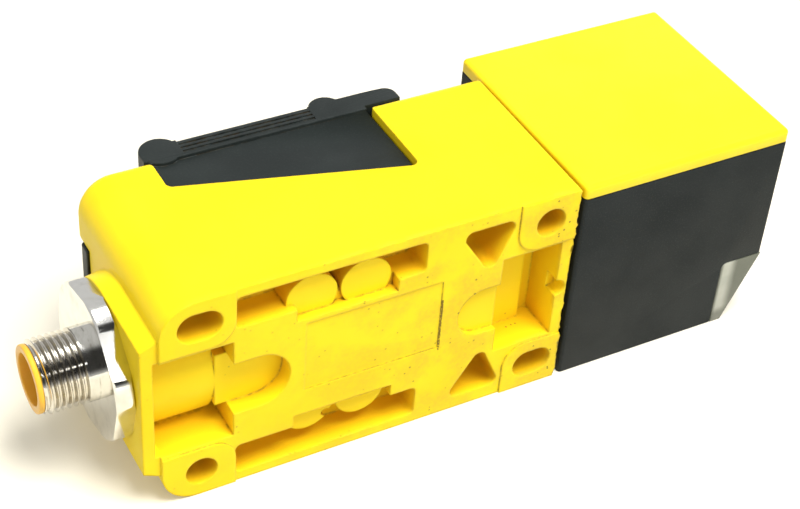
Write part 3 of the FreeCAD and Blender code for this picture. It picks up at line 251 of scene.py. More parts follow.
@dataclass
class Effects:
    """Node groups of the effects that several finishes share."""

    packed_shade: Span = (0.78, 0.42)
    packed_grit: float = 900.0
    grit_edge: Span = (0.38, 0.62)
    film_edge: Span = (0.38, 0.60)
    fleck_scale: float = 1500.0
    fleck_least: float = 0.55
    speck_scale: float = 1100.0
    speck_size: Span = (0.30, 0.12)
    speck_chance: Span = (0.80, 0.92)
    speck_film: Span = (0.05, 0.5)
    dot_chance: Span = (0.5, 0.65)
    # Reach and span of the painted shade in the pockets.
    pocket_shade_reach: float = 12.0
    pocket_shade_span: Span = (0.64, 0.15)
    shade_samples: int = 8
    rub_turn: Span = (0.985, 0.88)
    rub_patches: float = 420.0
    rub_edge: Span = (0.40, 0.66)
    rub_samples: int = 6

    def __post_init__(self) -> None:
        """Build each group once."""
        self.grain = self._mould_grain()
        self.dirt_and_shade = self._shop_dirt_and_shade()
        self.rub = self._edge_rub()
        self.lathe = self._lathe_marks()

    @staticmethod
    def _start(name: str,
               sockets: Sequence[EffectSocket]) -> tuple[NodeSheet, bpy.types.Node, bpy.types.Node]:
        """Make an empty group with its sockets.

        Args:
            name: the group's name.
            sockets: its inputs and outputs.

        Returns:
            The group's sheet, its input node and its output node.
        """
        group = bpy.data.node_groups.new(name, "ShaderNodeTree")
        for socket in sockets:
            way = "OUTPUT" if socket.leaves else "INPUT"
            group.interface.new_socket(socket.name, in_out=way, socket_type=socket.kind)
        sheet = NodeSheet(group)
        return sheet, sheet.add("NodeGroupInput"), sheet.add("NodeGroupOutput")

    def _mould_grain(self) -> bpy.types.NodeTree:
        """Make the fine grain of a moulded surface, and slow clouds of tone over it.

        Returns:
            The node group.
        """
        sheet, given, out = self._start("mould_grain", (
            EffectSocket("Vector", "NodeSocketVector"), EffectSocket("Grain"), EffectSocket("Clouds"),
            EffectSocket("Height", leaves=True), EffectSocket("Tone", leaves=True)))
        fine = sheet.cloud(given.outputs["Vector"], given.outputs["Grain"], 3.0, 0.6)
        slow = sheet.cloud(given.outputs["Vector"], given.outputs["Clouds"], 3.0, 0.55)
        sheet.feed(out.inputs["Height"], fine)
        sheet.feed(out.inputs["Tone"], slow)
        return sheet.tree

    def _shop_dirt_and_shade(self) -> bpy.types.NodeTree:
        """Make the grime of a workshop, with painted shade: grime and painted shade in crevices, a patchy
        film, loose specks, and painted shade in deep pockets.

        Returns:
            The node group.
        """
        sheet, given, out = self._start("shop_dirt_and_shade", (
            EffectSocket("Vector", "NodeSocketVector"), EffectSocket("Reach"), EffectSocket("Patch"),
            EffectSocket("CreviceDirtAndShade", leaves=True), EffectSocket("Film", leaves=True),
            EffectSocket("Specks", leaves=True), EffectSocket("Dots", leaves=True),
            EffectSocket("PocketShade", leaves=True)))
        vector = given.outputs["Vector"]
        # Crevice grime with painted shade: ambient occlusion, broken by grit.
        shade = sheet.add("ShaderNodeAmbientOcclusion", samples=self.shade_samples, only_local=True)
        sheet.feed(shade.inputs["Distance"], given.outputs["Reach"])
        crevice_dirt_and_shade = sheet.span(shade.outputs["AO"], *self.packed_shade)
        broken = sheet.span(sheet.cloud(vector, self.packed_grit, 3.0, 0.6), *self.grit_edge)
        sheet.feed(out.inputs["CreviceDirtAndShade"], sheet.product(crevice_dirt_and_shade, broken))
        patches = sheet.span(sheet.cloud(vector, given.outputs["Patch"], 5.0, 0.62), *self.film_edge)
        grit = sheet.cloud(vector, self.fleck_scale, 4.0, 0.7)
        flecks = sheet.span(grit, *self.grit_edge, self.fleck_least, 1.0)
        film = sheet.product(patches, flecks)
        sheet.feed(out.inputs["Film"], film)
        cells = sheet.add("ShaderNodeTexVoronoi", feature="F1")
        sheet.feed(cells.inputs["Vector"], vector)
        cells.inputs["Scale"].default_value = self.speck_scale
        chance = sheet.add("ShaderNodeSeparateColor")
        sheet.feed(chance.inputs[0], cells.outputs["Color"])
        dot = sheet.span(cells.outputs["Distance"], *self.speck_size)
        rare = sheet.span(chance.outputs[0], *self.speck_chance)
        sheet.feed(out.inputs["Specks"], sheet.product(dot, rare, sheet.span(film, *self.speck_film)))
        sheet.feed(out.inputs["Dots"], sheet.product(dot, sheet.span(chance.outputs[0], *self.dot_chance)))
        # Painted shade in the pockets: ambient occlusion over a wide reach.
        deep = sheet.add("ShaderNodeAmbientOcclusion", samples=self.shade_samples, only_local=True)
        sheet.feed(deep.inputs["Distance"], sheet.product(given.outputs["Reach"], self.pocket_shade_reach))
        sheet.feed(out.inputs["PocketShade"], sheet.span(deep.outputs["AO"], *self.pocket_shade_span))
        return sheet.tree

    def _edge_rub(self) -> bpy.types.NodeTree:
        """Make a mask of outer edges that handling has rubbed.

        Returns:
            The node group.
        """
        sheet, given, out = self._start("edge_rub", (
            EffectSocket("Vector", "NodeSocketVector"), EffectSocket("Width"),
            EffectSocket("Edge", leaves=True)))
        rounded = sheet.add("ShaderNodeBevel", samples=self.rub_samples)
        sheet.feed(rounded.inputs["Radius"], given.outputs["Width"])
        plain = sheet.add("ShaderNodeNewGeometry")
        turn = sheet.add("ShaderNodeVectorMath", operation="DOT_PRODUCT")
        sheet.feed(turn.inputs[0], rounded.outputs["Normal"])
        sheet.feed(turn.inputs[1], plain.outputs["Normal"])
        edge = sheet.span(turn.outputs["Value"], *self.rub_turn)
        patchy = sheet.span(sheet.cloud(given.outputs["Vector"], self.rub_patches, 4.0, 0.6), *self.rub_edge)
        sheet.feed(out.inputs["Edge"], sheet.product(edge, patchy))
        return sheet.tree

    def _lathe_marks(self) -> bpy.types.NodeTree:
        """Make the fine tool lines of a turned piece round its own X axis.

        Returns:
            The node group.
        """
        sheet, given, out = self._start("lathe_marks", (
            EffectSocket("Vector", "NodeSocketVector"), EffectSocket("Lines"),
            EffectSocket("Height", leaves=True)))
        along, across, upward = sheet.axes(given.outputs["Vector"])
        squares = sheet.sum("ADD", sheet.sum("POWER", across, 2.0), sheet.sum("POWER", upward, 2.0))
        lines = sheet.add("ShaderNodeTexNoise", noise_dimensions="1D")
        sheet.feed(lines.inputs["W"], sheet.sum("ADD", sheet.sum("SQRT", squares), along))
        sheet.feed(lines.inputs["Scale"], given.outputs["Lines"])
        lines.inputs["Detail"].default_value = 2.0
        sheet.feed(out.inputs["Height"], lines.outputs["Fac"])
        return sheet.tree


@dataclass(frozen=True)
class Finish:
    """What every finish has: a name, a colour, a gloss and how far the gloss varies."""

    name: str
    colour: Colour
    roughness: float
    gloss_spread: Span = (0.0, 0.0)
    gloss_tone: Span = (0.3, 0.8)

    def start(self) -> tuple[bpy.types.Material, NodeSheet, bpy.types.Node, bpy.types.NodeSocket]:
        """Make the material.

        Returns:
            The material, its sheet, its surface shader and its Object coordinates.
        """
        material = bpy.data.materials.new(self.name)
        material.use_nodes = True
        sheet = NodeSheet(material.node_tree)
        shader = material.node_tree.nodes["Principled BSDF"]
        shader.inputs["Base Color"].default_value = (*self.colour, 1.0)
        shader.inputs["Roughness"].default_value = self.roughness
        place = sheet.add("ShaderNodeTexCoord").outputs["Object"]
        return material, sheet, shader, place

    def vary_gloss(self, sheet: NodeSheet, shader: bpy.types.Node, tone: Source) -> None:
        """Let the roughness follow the slow clouds of tone.

        Args:
            sheet: the material's sheet.
            shader: its surface shader.
            tone: the clouds' socket.
        """
        glossier, duller = (self.roughness + change for change in self.gloss_spread)
        sheet.feed(shader.inputs["Roughness"], sheet.span(tone, *self.gloss_tone, glossier, duller))

    @staticmethod
    def raise_surface(sheet: NodeSheet, shader: bpy.types.Node, height: Source, depth: float,
                      rounding: float = 0.0) -> None:
        """Feed a height to the shader's normal.

        Args:
            sheet: the material's sheet.
            shader: its surface shader.
            height: the height's socket.
            depth: real depth of the relief.
            rounding: radius that edges and corners show, where the mesh keeps them sharp.
        """
        bump = sheet.add("ShaderNodeBump")
        if rounding:
            soft = sheet.add("ShaderNodeBevel", samples=8)
            soft.inputs["Radius"].default_value = rounding
            sheet.feed(bump.inputs["Normal"], soft.outputs["Normal"])
        bump.inputs["Strength"].default_value = 1.0
        bump.inputs["Distance"].default_value = depth
        sheet.feed(bump.inputs["Height"], height)
        sheet.feed(shader.inputs["Normal"], bump.outputs["Normal"])


@dataclass(frozen=True)
class MouldedPlastic(Finish):
    """A moulded thermoplastic with grain, clouds of tone, rubbed edges, and grime with painted shade in its
    corners.
    """

    deep: Colour = (0.0, 0.0, 0.0)
    rubbed: Colour = (1.0, 1.0, 1.0)
    # Colour of crevice grime with painted crevice shade, and of specks.
    soil_and_shade: Colour = (0.10, 0.06, 0.02)
    grain: float = 2600.0
    grain_depth: float = 0.02 * MM
    clouds: float = 60.0
    # Strength of the crevice grime with painted shade.
    dirt_and_shade: float = 0.5
    rub: float = 0.3
    speckle: float = 0.0
    rounding: float = 0.0
    shine: float = 0.5
    reach: float = 0.7 * MM
    patch: float = 110.0
    rub_width: float = 0.35 * MM
    tone_span: Span = (0.35, 0.72)
    fleck_span: Span = (0.52, 0.70)
    gloss_spread: Span = (-0.05, 0.08)

    def build(self, effects: Effects) -> bpy.types.Material:
        """Make the material.

        Args:
            effects: the shared effects.

        Returns:
            The finished material.
        """
        material, sheet, shader, place = self.start()
        shader.inputs["Specular IOR Level"].default_value = self.shine
        grain = sheet.effect(effects.grain, Vector=place, Grain=self.grain, Clouds=self.clouds)
        dirt_and_shade = sheet.effect(effects.dirt_and_shade, Vector=place, Reach=self.reach, Patch=self.patch)
        rub = sheet.effect(effects.rub, Vector=place, Width=self.rub_width)
        tone = sheet.span(grain.outputs["Tone"], *self.tone_span)
        colour = sheet.blend(tone, self.colour, self.deep)
        if self.speckle:
            flecks = sheet.span(grain.outputs["Height"], *self.fleck_span, 0.0, self.speckle)
            colour = sheet.blend(flecks, colour, self.rubbed)
        edges = sheet.product(rub.outputs["Edge"], self.rub)
        colour = sheet.blend(edges, colour, self.rubbed)
        colour = self.soiled_and_shaded(sheet, place, dirt_and_shade, colour)
        sheet.feed(shader.inputs["Base Color"], colour)
        self.vary_gloss(sheet, shader, grain.outputs["Tone"])
        self.raise_surface(sheet, shader, grain.outputs["Height"], self.grain_depth, self.rounding)
        return material

    def soiled_and_shaded(self, sheet: NodeSheet, place: Source, dirt_and_shade: bpy.types.Node,
               colour: Source) -> bpy.types.NodeSocket:
        """Lay the grime and the painted shade of the crevices over the colour.

        Args:
            sheet: the material's sheet.
            place: Object coordinates, not used here.
            dirt_and_shade: the node of the grime and painted shade effect.
            colour: the clean colour's socket.

        Returns:
            The colour's socket, with grime and painted shade.
        """
        # Grime and painted shade in the crevices, from ambient occlusion.
        crevice_dirt_and_shade = sheet.product(dirt_and_shade.outputs["CreviceDirtAndShade"], self.dirt_and_shade)
        return sheet.blend(crevice_dirt_and_shade, colour, self.soil_and_shade)


@dataclass(frozen=True)
class MountingSidePlastic(MouldedPlastic):
    """The base's plastic, whose mounting side is smeared and specked from use, most near the head, with
    painted shade in its pockets and crevices.
    """

    film: Colour = (0.66, 0.43, 0.035)
    # Warm orange of the painted shade in the pockets.
    pocket_shade: Colour = (0.70, 0.34, 0.008)
    smear: float = 0.55
    spatters: tuple[tuple[float, float, float, float], ...] = (
        (-25.0 * MM, 2.0 * MM, 2.0 * MM, 2.6 * MM),
        (-24.4 * MM, 4.0 * MM, -5.2 * MM, 2.2 * MM),
        (-25.6 * MM, 1.2 * MM, -8.0 * MM, 2.6 * MM),
        (-24.6 * MM, 3.0 * MM, 9.4 * MM, 2.2 * MM),
        (28.0 * MM, 5.0 * MM, -9.0 * MM, 2.2 * MM),
    )
    spatter_core: float = 0.4
    pocket_shade_share: float = 0.8
    speck_share: float = 0.75
    dot_share: float = 0.8
    face_depth: Span = (1.4 * MM, 0.6 * MM)
    pocket_depth: Span = (13.0 * MM, 2.0 * MM)
    boss_end: Span = (-36.4 * MM, -36.0 * MM)
    head_end: Span = (-30.0 * MM, 22.0 * MM)
    plug_end_share: float = 0.25
    groove_x: float = 11.35 * MM
    groove_low: float = -5.6 * MM
    groove_high: float = 5.4 * MM
    groove_width: Span = (0.26 * MM, 0.08 * MM)
    groove_fade: float = 0.3 * MM
    groove_grit: float = 2400.0
    groove_breaks: Span = (0.36, 0.50)
    groove_share: float = 0.9

    def soiled_and_shaded(self, sheet: NodeSheet, place: Source, dirt_and_shade: bpy.types.Node,
               colour: Source) -> bpy.types.NodeSocket:
        """Lay grime and painted shade in the crevices everywhere, painted shade in the pockets, and smears,
        specks and a dark broken line along the groove on the mounting side.

        Args:
            sheet: the material's sheet.
            place: Object coordinates.
            dirt_and_shade: the node of the grime and painted shade effect.
            colour: the clean colour's socket.

        Returns:
            The colour's socket, with grime, smears, specks and painted shade.
        """
        along, inward, upward = sheet.axes(place)
        outer = sheet.span(inward, *self.face_depth)
        past_boss = sheet.span(along, *self.boss_end)
        inner = sheet.product(sheet.span(inward, *self.pocket_depth), past_boss)
        headward = sheet.span(along, *self.head_end, self.plug_end_share, 1.0)
        # Painted shade, warm orange, in the pockets.
        pocket_shade = sheet.product(dirt_and_shade.outputs["PocketShade"], inner, self.pocket_shade_share)
        colour = sheet.blend(pocket_shade, colour, self.pocket_shade)
        smear = sheet.product(outer, headward, dirt_and_shade.outputs["Film"], self.smear)
        colour = sheet.blend(smear, colour, self.film)
        specks = sheet.product(outer, headward, dirt_and_shade.outputs["Specks"], self.speck_share)
        colour = sheet.blend(specks, colour, self.soil_and_shade)
        dots = sheet.product(self.spattered(sheet, place), dirt_and_shade.outputs["Dots"], self.dot_share)
        colour = sheet.blend(dots, colour, self.soil_and_shade)
        aside = sheet.sum("ABSOLUTE", sheet.sum("SUBTRACT", along, self.groove_x))
        groove = sheet.product(
            outer, sheet.span(aside, *self.groove_width),
            sheet.span(upward, self.groove_low, self.groove_low + self.groove_fade),
            sheet.span(upward, self.groove_high, self.groove_high - self.groove_fade),
            sheet.span(sheet.cloud(place, self.groove_grit), *self.groove_breaks), self.groove_share)
        colour = sheet.blend(groove, colour, self.soil_and_shade)
        # Grime and painted shade in the crevices, fading out deep inside, from ambient occlusion.
        crevice_dirt_and_shade = sheet.product(dirt_and_shade.outputs["CreviceDirtAndShade"], inner, self.dirt_and_shade)
        return sheet.blend(crevice_dirt_and_shade, colour, self.soil_and_shade)

    def spattered(self, sheet: NodeSheet, place: Source) -> bpy.types.NodeSocket:
        """Mask the spots where loose dirt has gathered.

        Args:
            sheet: the material's sheet.
            place: Object coordinates.

        Returns:
            The mask's socket.
        """
        mask = 0.0
        for *spot, radius in self.spatters:
            apart = sheet.add("ShaderNodeVectorMath", operation="DISTANCE")
            sheet.feed(apart.inputs[0], place)
            apart.inputs[1].default_value = spot
            near = sheet.span(apart.outputs["Value"], radius, self.spatter_core * radius)
            mask = sheet.sum("MAXIMUM", near, mask)
        return mask


@dataclass(frozen=True)
class TurnedMetal(Finish):
    """A turned metal piece with tool lines round an axis along X, a little tarnish, and tarnish with painted
    shade in its crevices.
    """

    tarnish: Colour = (0.30, 0.27, 0.20)
    axis: tuple[float, float] = (0.0, 0.0)
    lines: float = 5200.0
    depth: float = 0.004 * MM
    stain: float = 0.35
    stain_span: Span = (0.42, 0.75)
    grain: float = 1800.0
    clouds: float = 260.0
    reach: float = 0.5 * MM
    patch: float = 300.0
    # Strength of the crevice tarnish with painted shade.
    dirt_and_shade: float = 0.6
    gloss_spread: Span = (-0.03, 0.08)

    def build(self, effects: Effects) -> bpy.types.Material:
        """Make the material.

        Args:
            effects: the shared effects.

        Returns:
            The finished material.
        """
        material, sheet, shader, place = self.start()
        shader.inputs["Metallic"].default_value = 1.0
        centre = sheet.add("ShaderNodeMapping", vector_type="POINT")
        centre.inputs["Location"].default_value = (0.0, -self.axis[0], -self.axis[1])
        sheet.feed(centre.inputs["Vector"], place)
        marks = sheet.effect(effects.lathe, Vector=centre.outputs[0], Lines=self.lines)
        grain = sheet.effect(effects.grain, Vector=place, Grain=self.grain, Clouds=self.clouds)
        dirt_and_shade = sheet.effect(effects.dirt_and_shade, Vector=place, Reach=self.reach, Patch=self.patch)
        dull = sheet.span(grain.outputs["Tone"], *self.stain_span, 0.0, self.stain)
        colour = sheet.blend(dull, self.colour, self.tarnish)
        # Tarnish and painted shade in the crevices, from ambient occlusion.
        crevice_dirt_and_shade = sheet.product(dirt_and_shade.outputs["CreviceDirtAndShade"], self.dirt_and_shade)
        colour = sheet.blend(crevice_dirt_and_shade, colour, self.tarnish)
        sheet.feed(shader.inputs["Base Color"], colour)
        self.vary_gloss(sheet, shader, grain.outputs["Tone"])
        self.raise_surface(sheet, shader, marks.outputs["Height"], self.depth)
        return material


@dataclass(frozen=True)
class SoftRubber(Finish):
    """Rubber or lead insulation: even, with a faint bloom and a fine skin."""

    bloom: Colour = (0.12, 0.12, 0.12)
    bloom_share: float = 0.35
    bloom_span: Span = (0.5, 0.8)
    grain: float = 3200.0
    clouds: float = 240.0
    depth: float = 0.01 * MM

    def build(self, effects: Effects) -> bpy.types.Material:
        """Make the material.

        Args:
            effects: the shared effects.

        Returns:
            The finished material.
        """
        material, sheet, shader, place = self.start()
        grain = sheet.effect(effects.grain, Vector=place, Grain=self.grain, Clouds=self.clouds)
        dust = sheet.span(grain.outputs["Tone"], *self.bloom_span, 0.0, self.bloom_share)
        sheet.feed(shader.inputs["Base Color"], sheet.blend(dust, self.colour, self.bloom))
        self.raise_surface(sheet, shader, grain.outputs["Height"], self.depth)
        return material


@dataclass(frozen=True)
class LampWindow(Finish):
    """A translucent moulded window that scatters light, with a painted highlight stripe just inside its left
    end, and painted shade at that end, towards its far end and at its foot.
    """

    haze: Colour = (0.9, 0.9, 0.9)
    haze_span: Span = (0.35, 0.7)
    shade: Colour = (0.10, 0.11, 0.075)
    # Left end, stripe start and foot height of the painted highlight stripe and its painted shade.
    painted_stripe_from: Point = (-1.0, 0.0, -1.0)
    rise_width: float = 0.7 * MM
    fall_width: float = 2.2 * MM
    foot_span: Span = (1.6 * MM, 3.6 * MM)
    rim_share: float = 0.2
    far_share: float = 0.12
    frost: float = 0.35
    index: float = 1.49
    grain: float = 1500.0
    clouds: float = 170.0
    depth: float = 0.008 * MM

    def build(self, effects: Effects) -> bpy.types.Material:
        """Make the material.

        Args:
            effects: the shared effects.

        Returns:
            The finished material.
        """
        material, sheet, shader, place = self.start()
        shader.inputs["Transmission Weight"].default_value = self.frost
        shader.inputs["IOR"].default_value = self.index
        grain = sheet.effect(effects.grain, Vector=place, Grain=self.grain, Clouds=self.clouds)
        mist = sheet.span(grain.outputs["Tone"], *self.haze_span)
        along, _, upward = sheet.axes(place)
        left, middle, low = self.painted_stripe_from
        # Painted highlight stripe just inside the left end, with painted shade at that end, to the right and
        # at the foot.
        rise = sheet.span(along, left, left + self.rise_width, self.rim_share, 1.0)
        fall = sheet.span(along, middle, middle + self.fall_width, 1.0, self.far_share)
        foot_low, foot_high = (low + height for height in self.foot_span)
        foot = sheet.span(upward, foot_low, foot_high, self.rim_share, 1.0)
        colour = sheet.blend(mist, self.colour, self.haze)
        colour = sheet.blend(sheet.product(rise, fall, foot), self.shade, colour)
        sheet.feed(shader.inputs["Base Color"], colour)
        self.raise_surface(sheet, shader, grain.outputs["Height"], self.depth)
        return material


@dataclass(frozen=True)
class WoundWire(Finish):
    """Enamelled wire wound in layers round an axis along Z."""

    gap: Colour = (0.10, 0.03, 0.01)
    metal: float = 0.8
    band_scale: float = 125.0
    waver: float = 0.6
    depth: float = 0.05 * MM
    grain: float = 1500.0
    clouds: float = 200.0
    gloss_spread: Span = (0.0, 0.15)

    def build(self, effects: Effects) -> bpy.types.Material:
        """Make the material.

        Args:
            effects: the shared effects.

        Returns:
            The finished material.
        """
        material, sheet, shader, place = self.start()
        shader.inputs["Metallic"].default_value = self.metal
        bands = sheet.add("ShaderNodeTexWave", wave_type="BANDS", bands_direction="Z")
        sheet.feed(bands.inputs["Vector"], place)
        bands.inputs["Scale"].default_value = self.band_scale
        bands.inputs["Distortion"].default_value = self.waver
        sheet.feed(shader.inputs["Base Color"], sheet.blend(bands.outputs["Fac"], self.gap, self.colour))
        grain = sheet.effect(effects.grain, Vector=place, Grain=self.grain, Clouds=self.clouds)
        self.vary_gloss(sheet, shader, grain.outputs["Tone"])
        self.raise_surface(sheet, shader, bands.outputs["Fac"], self.depth)
        return material


@dataclass(frozen=True)
class CircuitLaminate(Finish):
    """A board under solder resist, with tracks that show through as raised lines."""

    track: Colour = (0.10, 0.42, 0.16)
    track_scale: float = 160.0
    track_width: float = 0.035
    stagger: float = 0.37
    squash: float = 1.4
    depth: float = 0.03 * MM
    grain: float = 2200.0
    clouds: float = 120.0
    gloss_spread: Span = (0.0, 0.1)

    def build(self, effects: Effects) -> bpy.types.Material:
        """Make the material.

        Args:
            effects: the shared effects.

        Returns:
            The finished material.
        """
        material, sheet, shader, place = self.start()
        tracks = sheet.add("ShaderNodeTexBrick", offset=self.stagger, squash=self.squash)
        sheet.feed(tracks.inputs["Vector"], place)
        tracks.inputs["Scale"].default_value = self.track_scale
        tracks.inputs["Mortar Size"].default_value = self.track_width
        sheet.feed(shader.inputs["Base Color"], sheet.blend(tracks.outputs["Fac"], self.colour, self.track))
        grain = sheet.effect(effects.grain, Vector=place, Grain=self.grain, Clouds=self.clouds)
        self.vary_gloss(sheet, shader, grain.outputs["Tone"])
        self.raise_surface(sheet, shader, tracks.outputs["Fac"], self.depth)
        return material


def add_piece(shape: bmesh.types.BMesh, name: str, body: Body, finish: bpy.types.Material,
              stands_for: Sequence[str] = ()) -> bpy.types.Object:
    """Make an object of a finished shape and tie it to its body.

    Args:
        shape: the shape, which is freed.
        name: the piece's name.
        body: the body that it rides on.
        finish: its material.
        stands_for: CAD nodes that it replaces.

    Returns:
        The new object.
    """
    mesh = bpy.data.meshes.new(name)
    shape.to_mesh(mesh)
    shape.free()
    mesh.materials.append(finish)
    piece = bpy.data.objects.new(name, mesh)
    bpy.context.scene.collection.objects.link(piece)
    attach(piece, body.value)
    if stands_for:
        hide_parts(*stands_for)
    LOG.info("piece %s rides on %s", name, body.value)
    return piece


def dress(node: str, finish: bpy.types.Material) -> None:
    """Give a CAD node its finish.

    Args:
        node: the node's name.
        finish: its material.
    """
    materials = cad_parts[node].data.materials
    materials.clear()
    materials.append(finish)
    LOG.info("node %s wears %s", node, finish.name)


def off_line(way: Vector, along: Vector) -> float:
    """Measure how far a point lies from a line through the origin.

    Args:
        way: the point.
        along: the line's direction, of length one.

    Returns:
        The distance.
    """
    return (way - along * way.dot(along)).length


@dataclass
class SoftEdges:
    """A copy of a CAD node whose outer edges are rounded as a mould or a tool leaves them."""

    node: str
    body: Body
    slot: str
    radius: float
    segments: int = 3
    narrow_share: float = 0.38
    weld: float = 0.001 * MM
    flat: float = math.radians(0.4)
    crease: float = math.radians(26)
    profile: float = 0.5

    def merged(self) -> bmesh.types.BMesh:
        """Copy the node with its loose triangles joined into whole faces.

        Returns:
            The copy.
        """
        shape = bmesh.new()
        shape.from_mesh(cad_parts[self.node].data)
        bmesh.ops.remove_doubles(shape, verts=shape.verts, dist=self.weld)
        bmesh.ops.dissolve_limit(shape, angle_limit=self.flat, verts=shape.verts, edges=shape.edges,
                                 use_dissolve_boundaries=False, delimit=set())
        shape.normal_update()
        return shape

    def room(self, edge: bmesh.types.BMEdge) -> float:
        """Find how wide the narrower face beside an edge is.

        Args:
            edge: the edge.

        Returns:
            The width across the edge.
        """
        start = edge.verts[0].co
        along = (edge.verts[1].co - start).normalized()
        return min(max(off_line(vert.co - start, along) for vert in face.verts) for face in edge.link_faces)

    def weigh(self, shape: bmesh.types.BMesh) -> None:
        """Mark how much each outer edge is rounded, and which inner corners stay sharp.

        Args:
            shape: the shape to mark.
        """
        weights = shape.edges.layers.float.new("bevel_weight_edge")
        for face in shape.faces:
            face.smooth = True
        for edge in shape.edges:
            if not edge.is_manifold or edge.calc_face_angle(0.0) < self.crease:
                continue
            if edge.is_convex and self.radius:
                edge[weights] = min(1.0, self.narrow_share * self.room(edge) / self.radius)
            else:
                edge.smooth = False

    def shaped(self) -> bmesh.types.BMesh:
        """Give the copy in its final form, before its edges are rounded.

        Returns:
            The shape.
        """
        return self.merged()

    def build(self, finish: bpy.types.Material, name: str = "") -> bpy.types.Object:
        """Make the piece.

        Args:
            finish: its material.
            name: its name, if not the node's with an ending.

        Returns:
            The new object.
        """
        shape = self.shaped()
        self.weigh(shape)
        piece = add_piece(shape, name or f"{self.node}_soft", self.body, finish, (self.node,))
        if self.radius:
            rounding = piece.modifiers.new("rounded_edges", "BEVEL")
            rounding.limit_method = "WEIGHT"
            rounding.width = self.radius
            rounding.segments = self.segments
            rounding.profile = self.profile
            rounding.use_clamp_overlap = False
            rounding.loop_slide = False
            rounding.harden_normals = True
        return piece


@dataclass
class BaseMoulding(SoftEdges):
    """The yellow base, whose head-end edge is nibbled from use."""

    bite: float = 0.7 * MM
    bite_length: float = 0.3 * MM
    bite_mean: float = 0.45
    bite_waves: tuple[Span, ...] = ((1.7 * MM, 0.8), (0.6 * MM, 0.4))
    worn_depth: float = 0.45 * MM

    def shaped(self) -> bmesh.types.BMesh:
        """Nibble the mounting-side edge at the head end.

        Returns:
            The shape.
        """
        shape = self.merged()
        head_end = max(vert.co.x for vert in shape.verts)
        worn = [edge for edge in shape.edges if all(self.is_worn(vert, head_end) for vert in edge.verts)]
        for edge in worn:
            cuts = int(edge.calc_length() / self.bite_length)
            if cuts:
                bmesh.ops.subdivide_edges(shape, edges=[edge], cuts=cuts)
        for vert in [vert for vert in shape.verts if self.is_worn(vert, head_end)]:
            height = Vector((0.0, 0.0, vert.co.z))
            depth = self.bite_mean
            for wave, share in self.bite_waves:
                depth += share * noise.noise(height / wave)
            vert.co.x -= self.bite * min(1.0, max(0.0, depth))
        shape.normal_update()
        return shape

    def is_worn(self, vert: bmesh.types.BMVert, head_end: float) -> bool:
        """Tell whether a vertex lies on the nibbled edge.

        Args:
            vert: the vertex.
            head_end: X of the base's head end.

        Returns:
            True on the edge.
        """
        return head_end - vert.co.x < TIGHT and vert.co.y < self.worn_depth


@dataclass
class CoverMoulding(SoftEdges):
    """The front cover, whose long edges end at short steps of its ridges."""

    narrow_share: float = 0.24
    weld: float = 0.02 * MM
    long_edge: float = 5.0 * MM

    def room(self, edge: bmesh.types.BMEdge) -> float:
        """Find how wide the narrower face beside an edge is, also at the ends of a long edge.

        Args:
            edge: the edge.

        Returns:
            The width across the edge.
        """
        width = super().room(edge)
        along = edge.verts[1].co - edge.verts[0].co
        if along.length < self.long_edge:
            return width
        along.normalize()
        for loop in edge.link_loops:
            for beside in (loop.link_loop_prev.edge, loop.link_loop_next.edge):
                step = beside.verts[1].co - beside.verts[0].co
                across = off_line(step, along)
                if across > abs(step.dot(along)):
                    width = min(width, across)
        return width


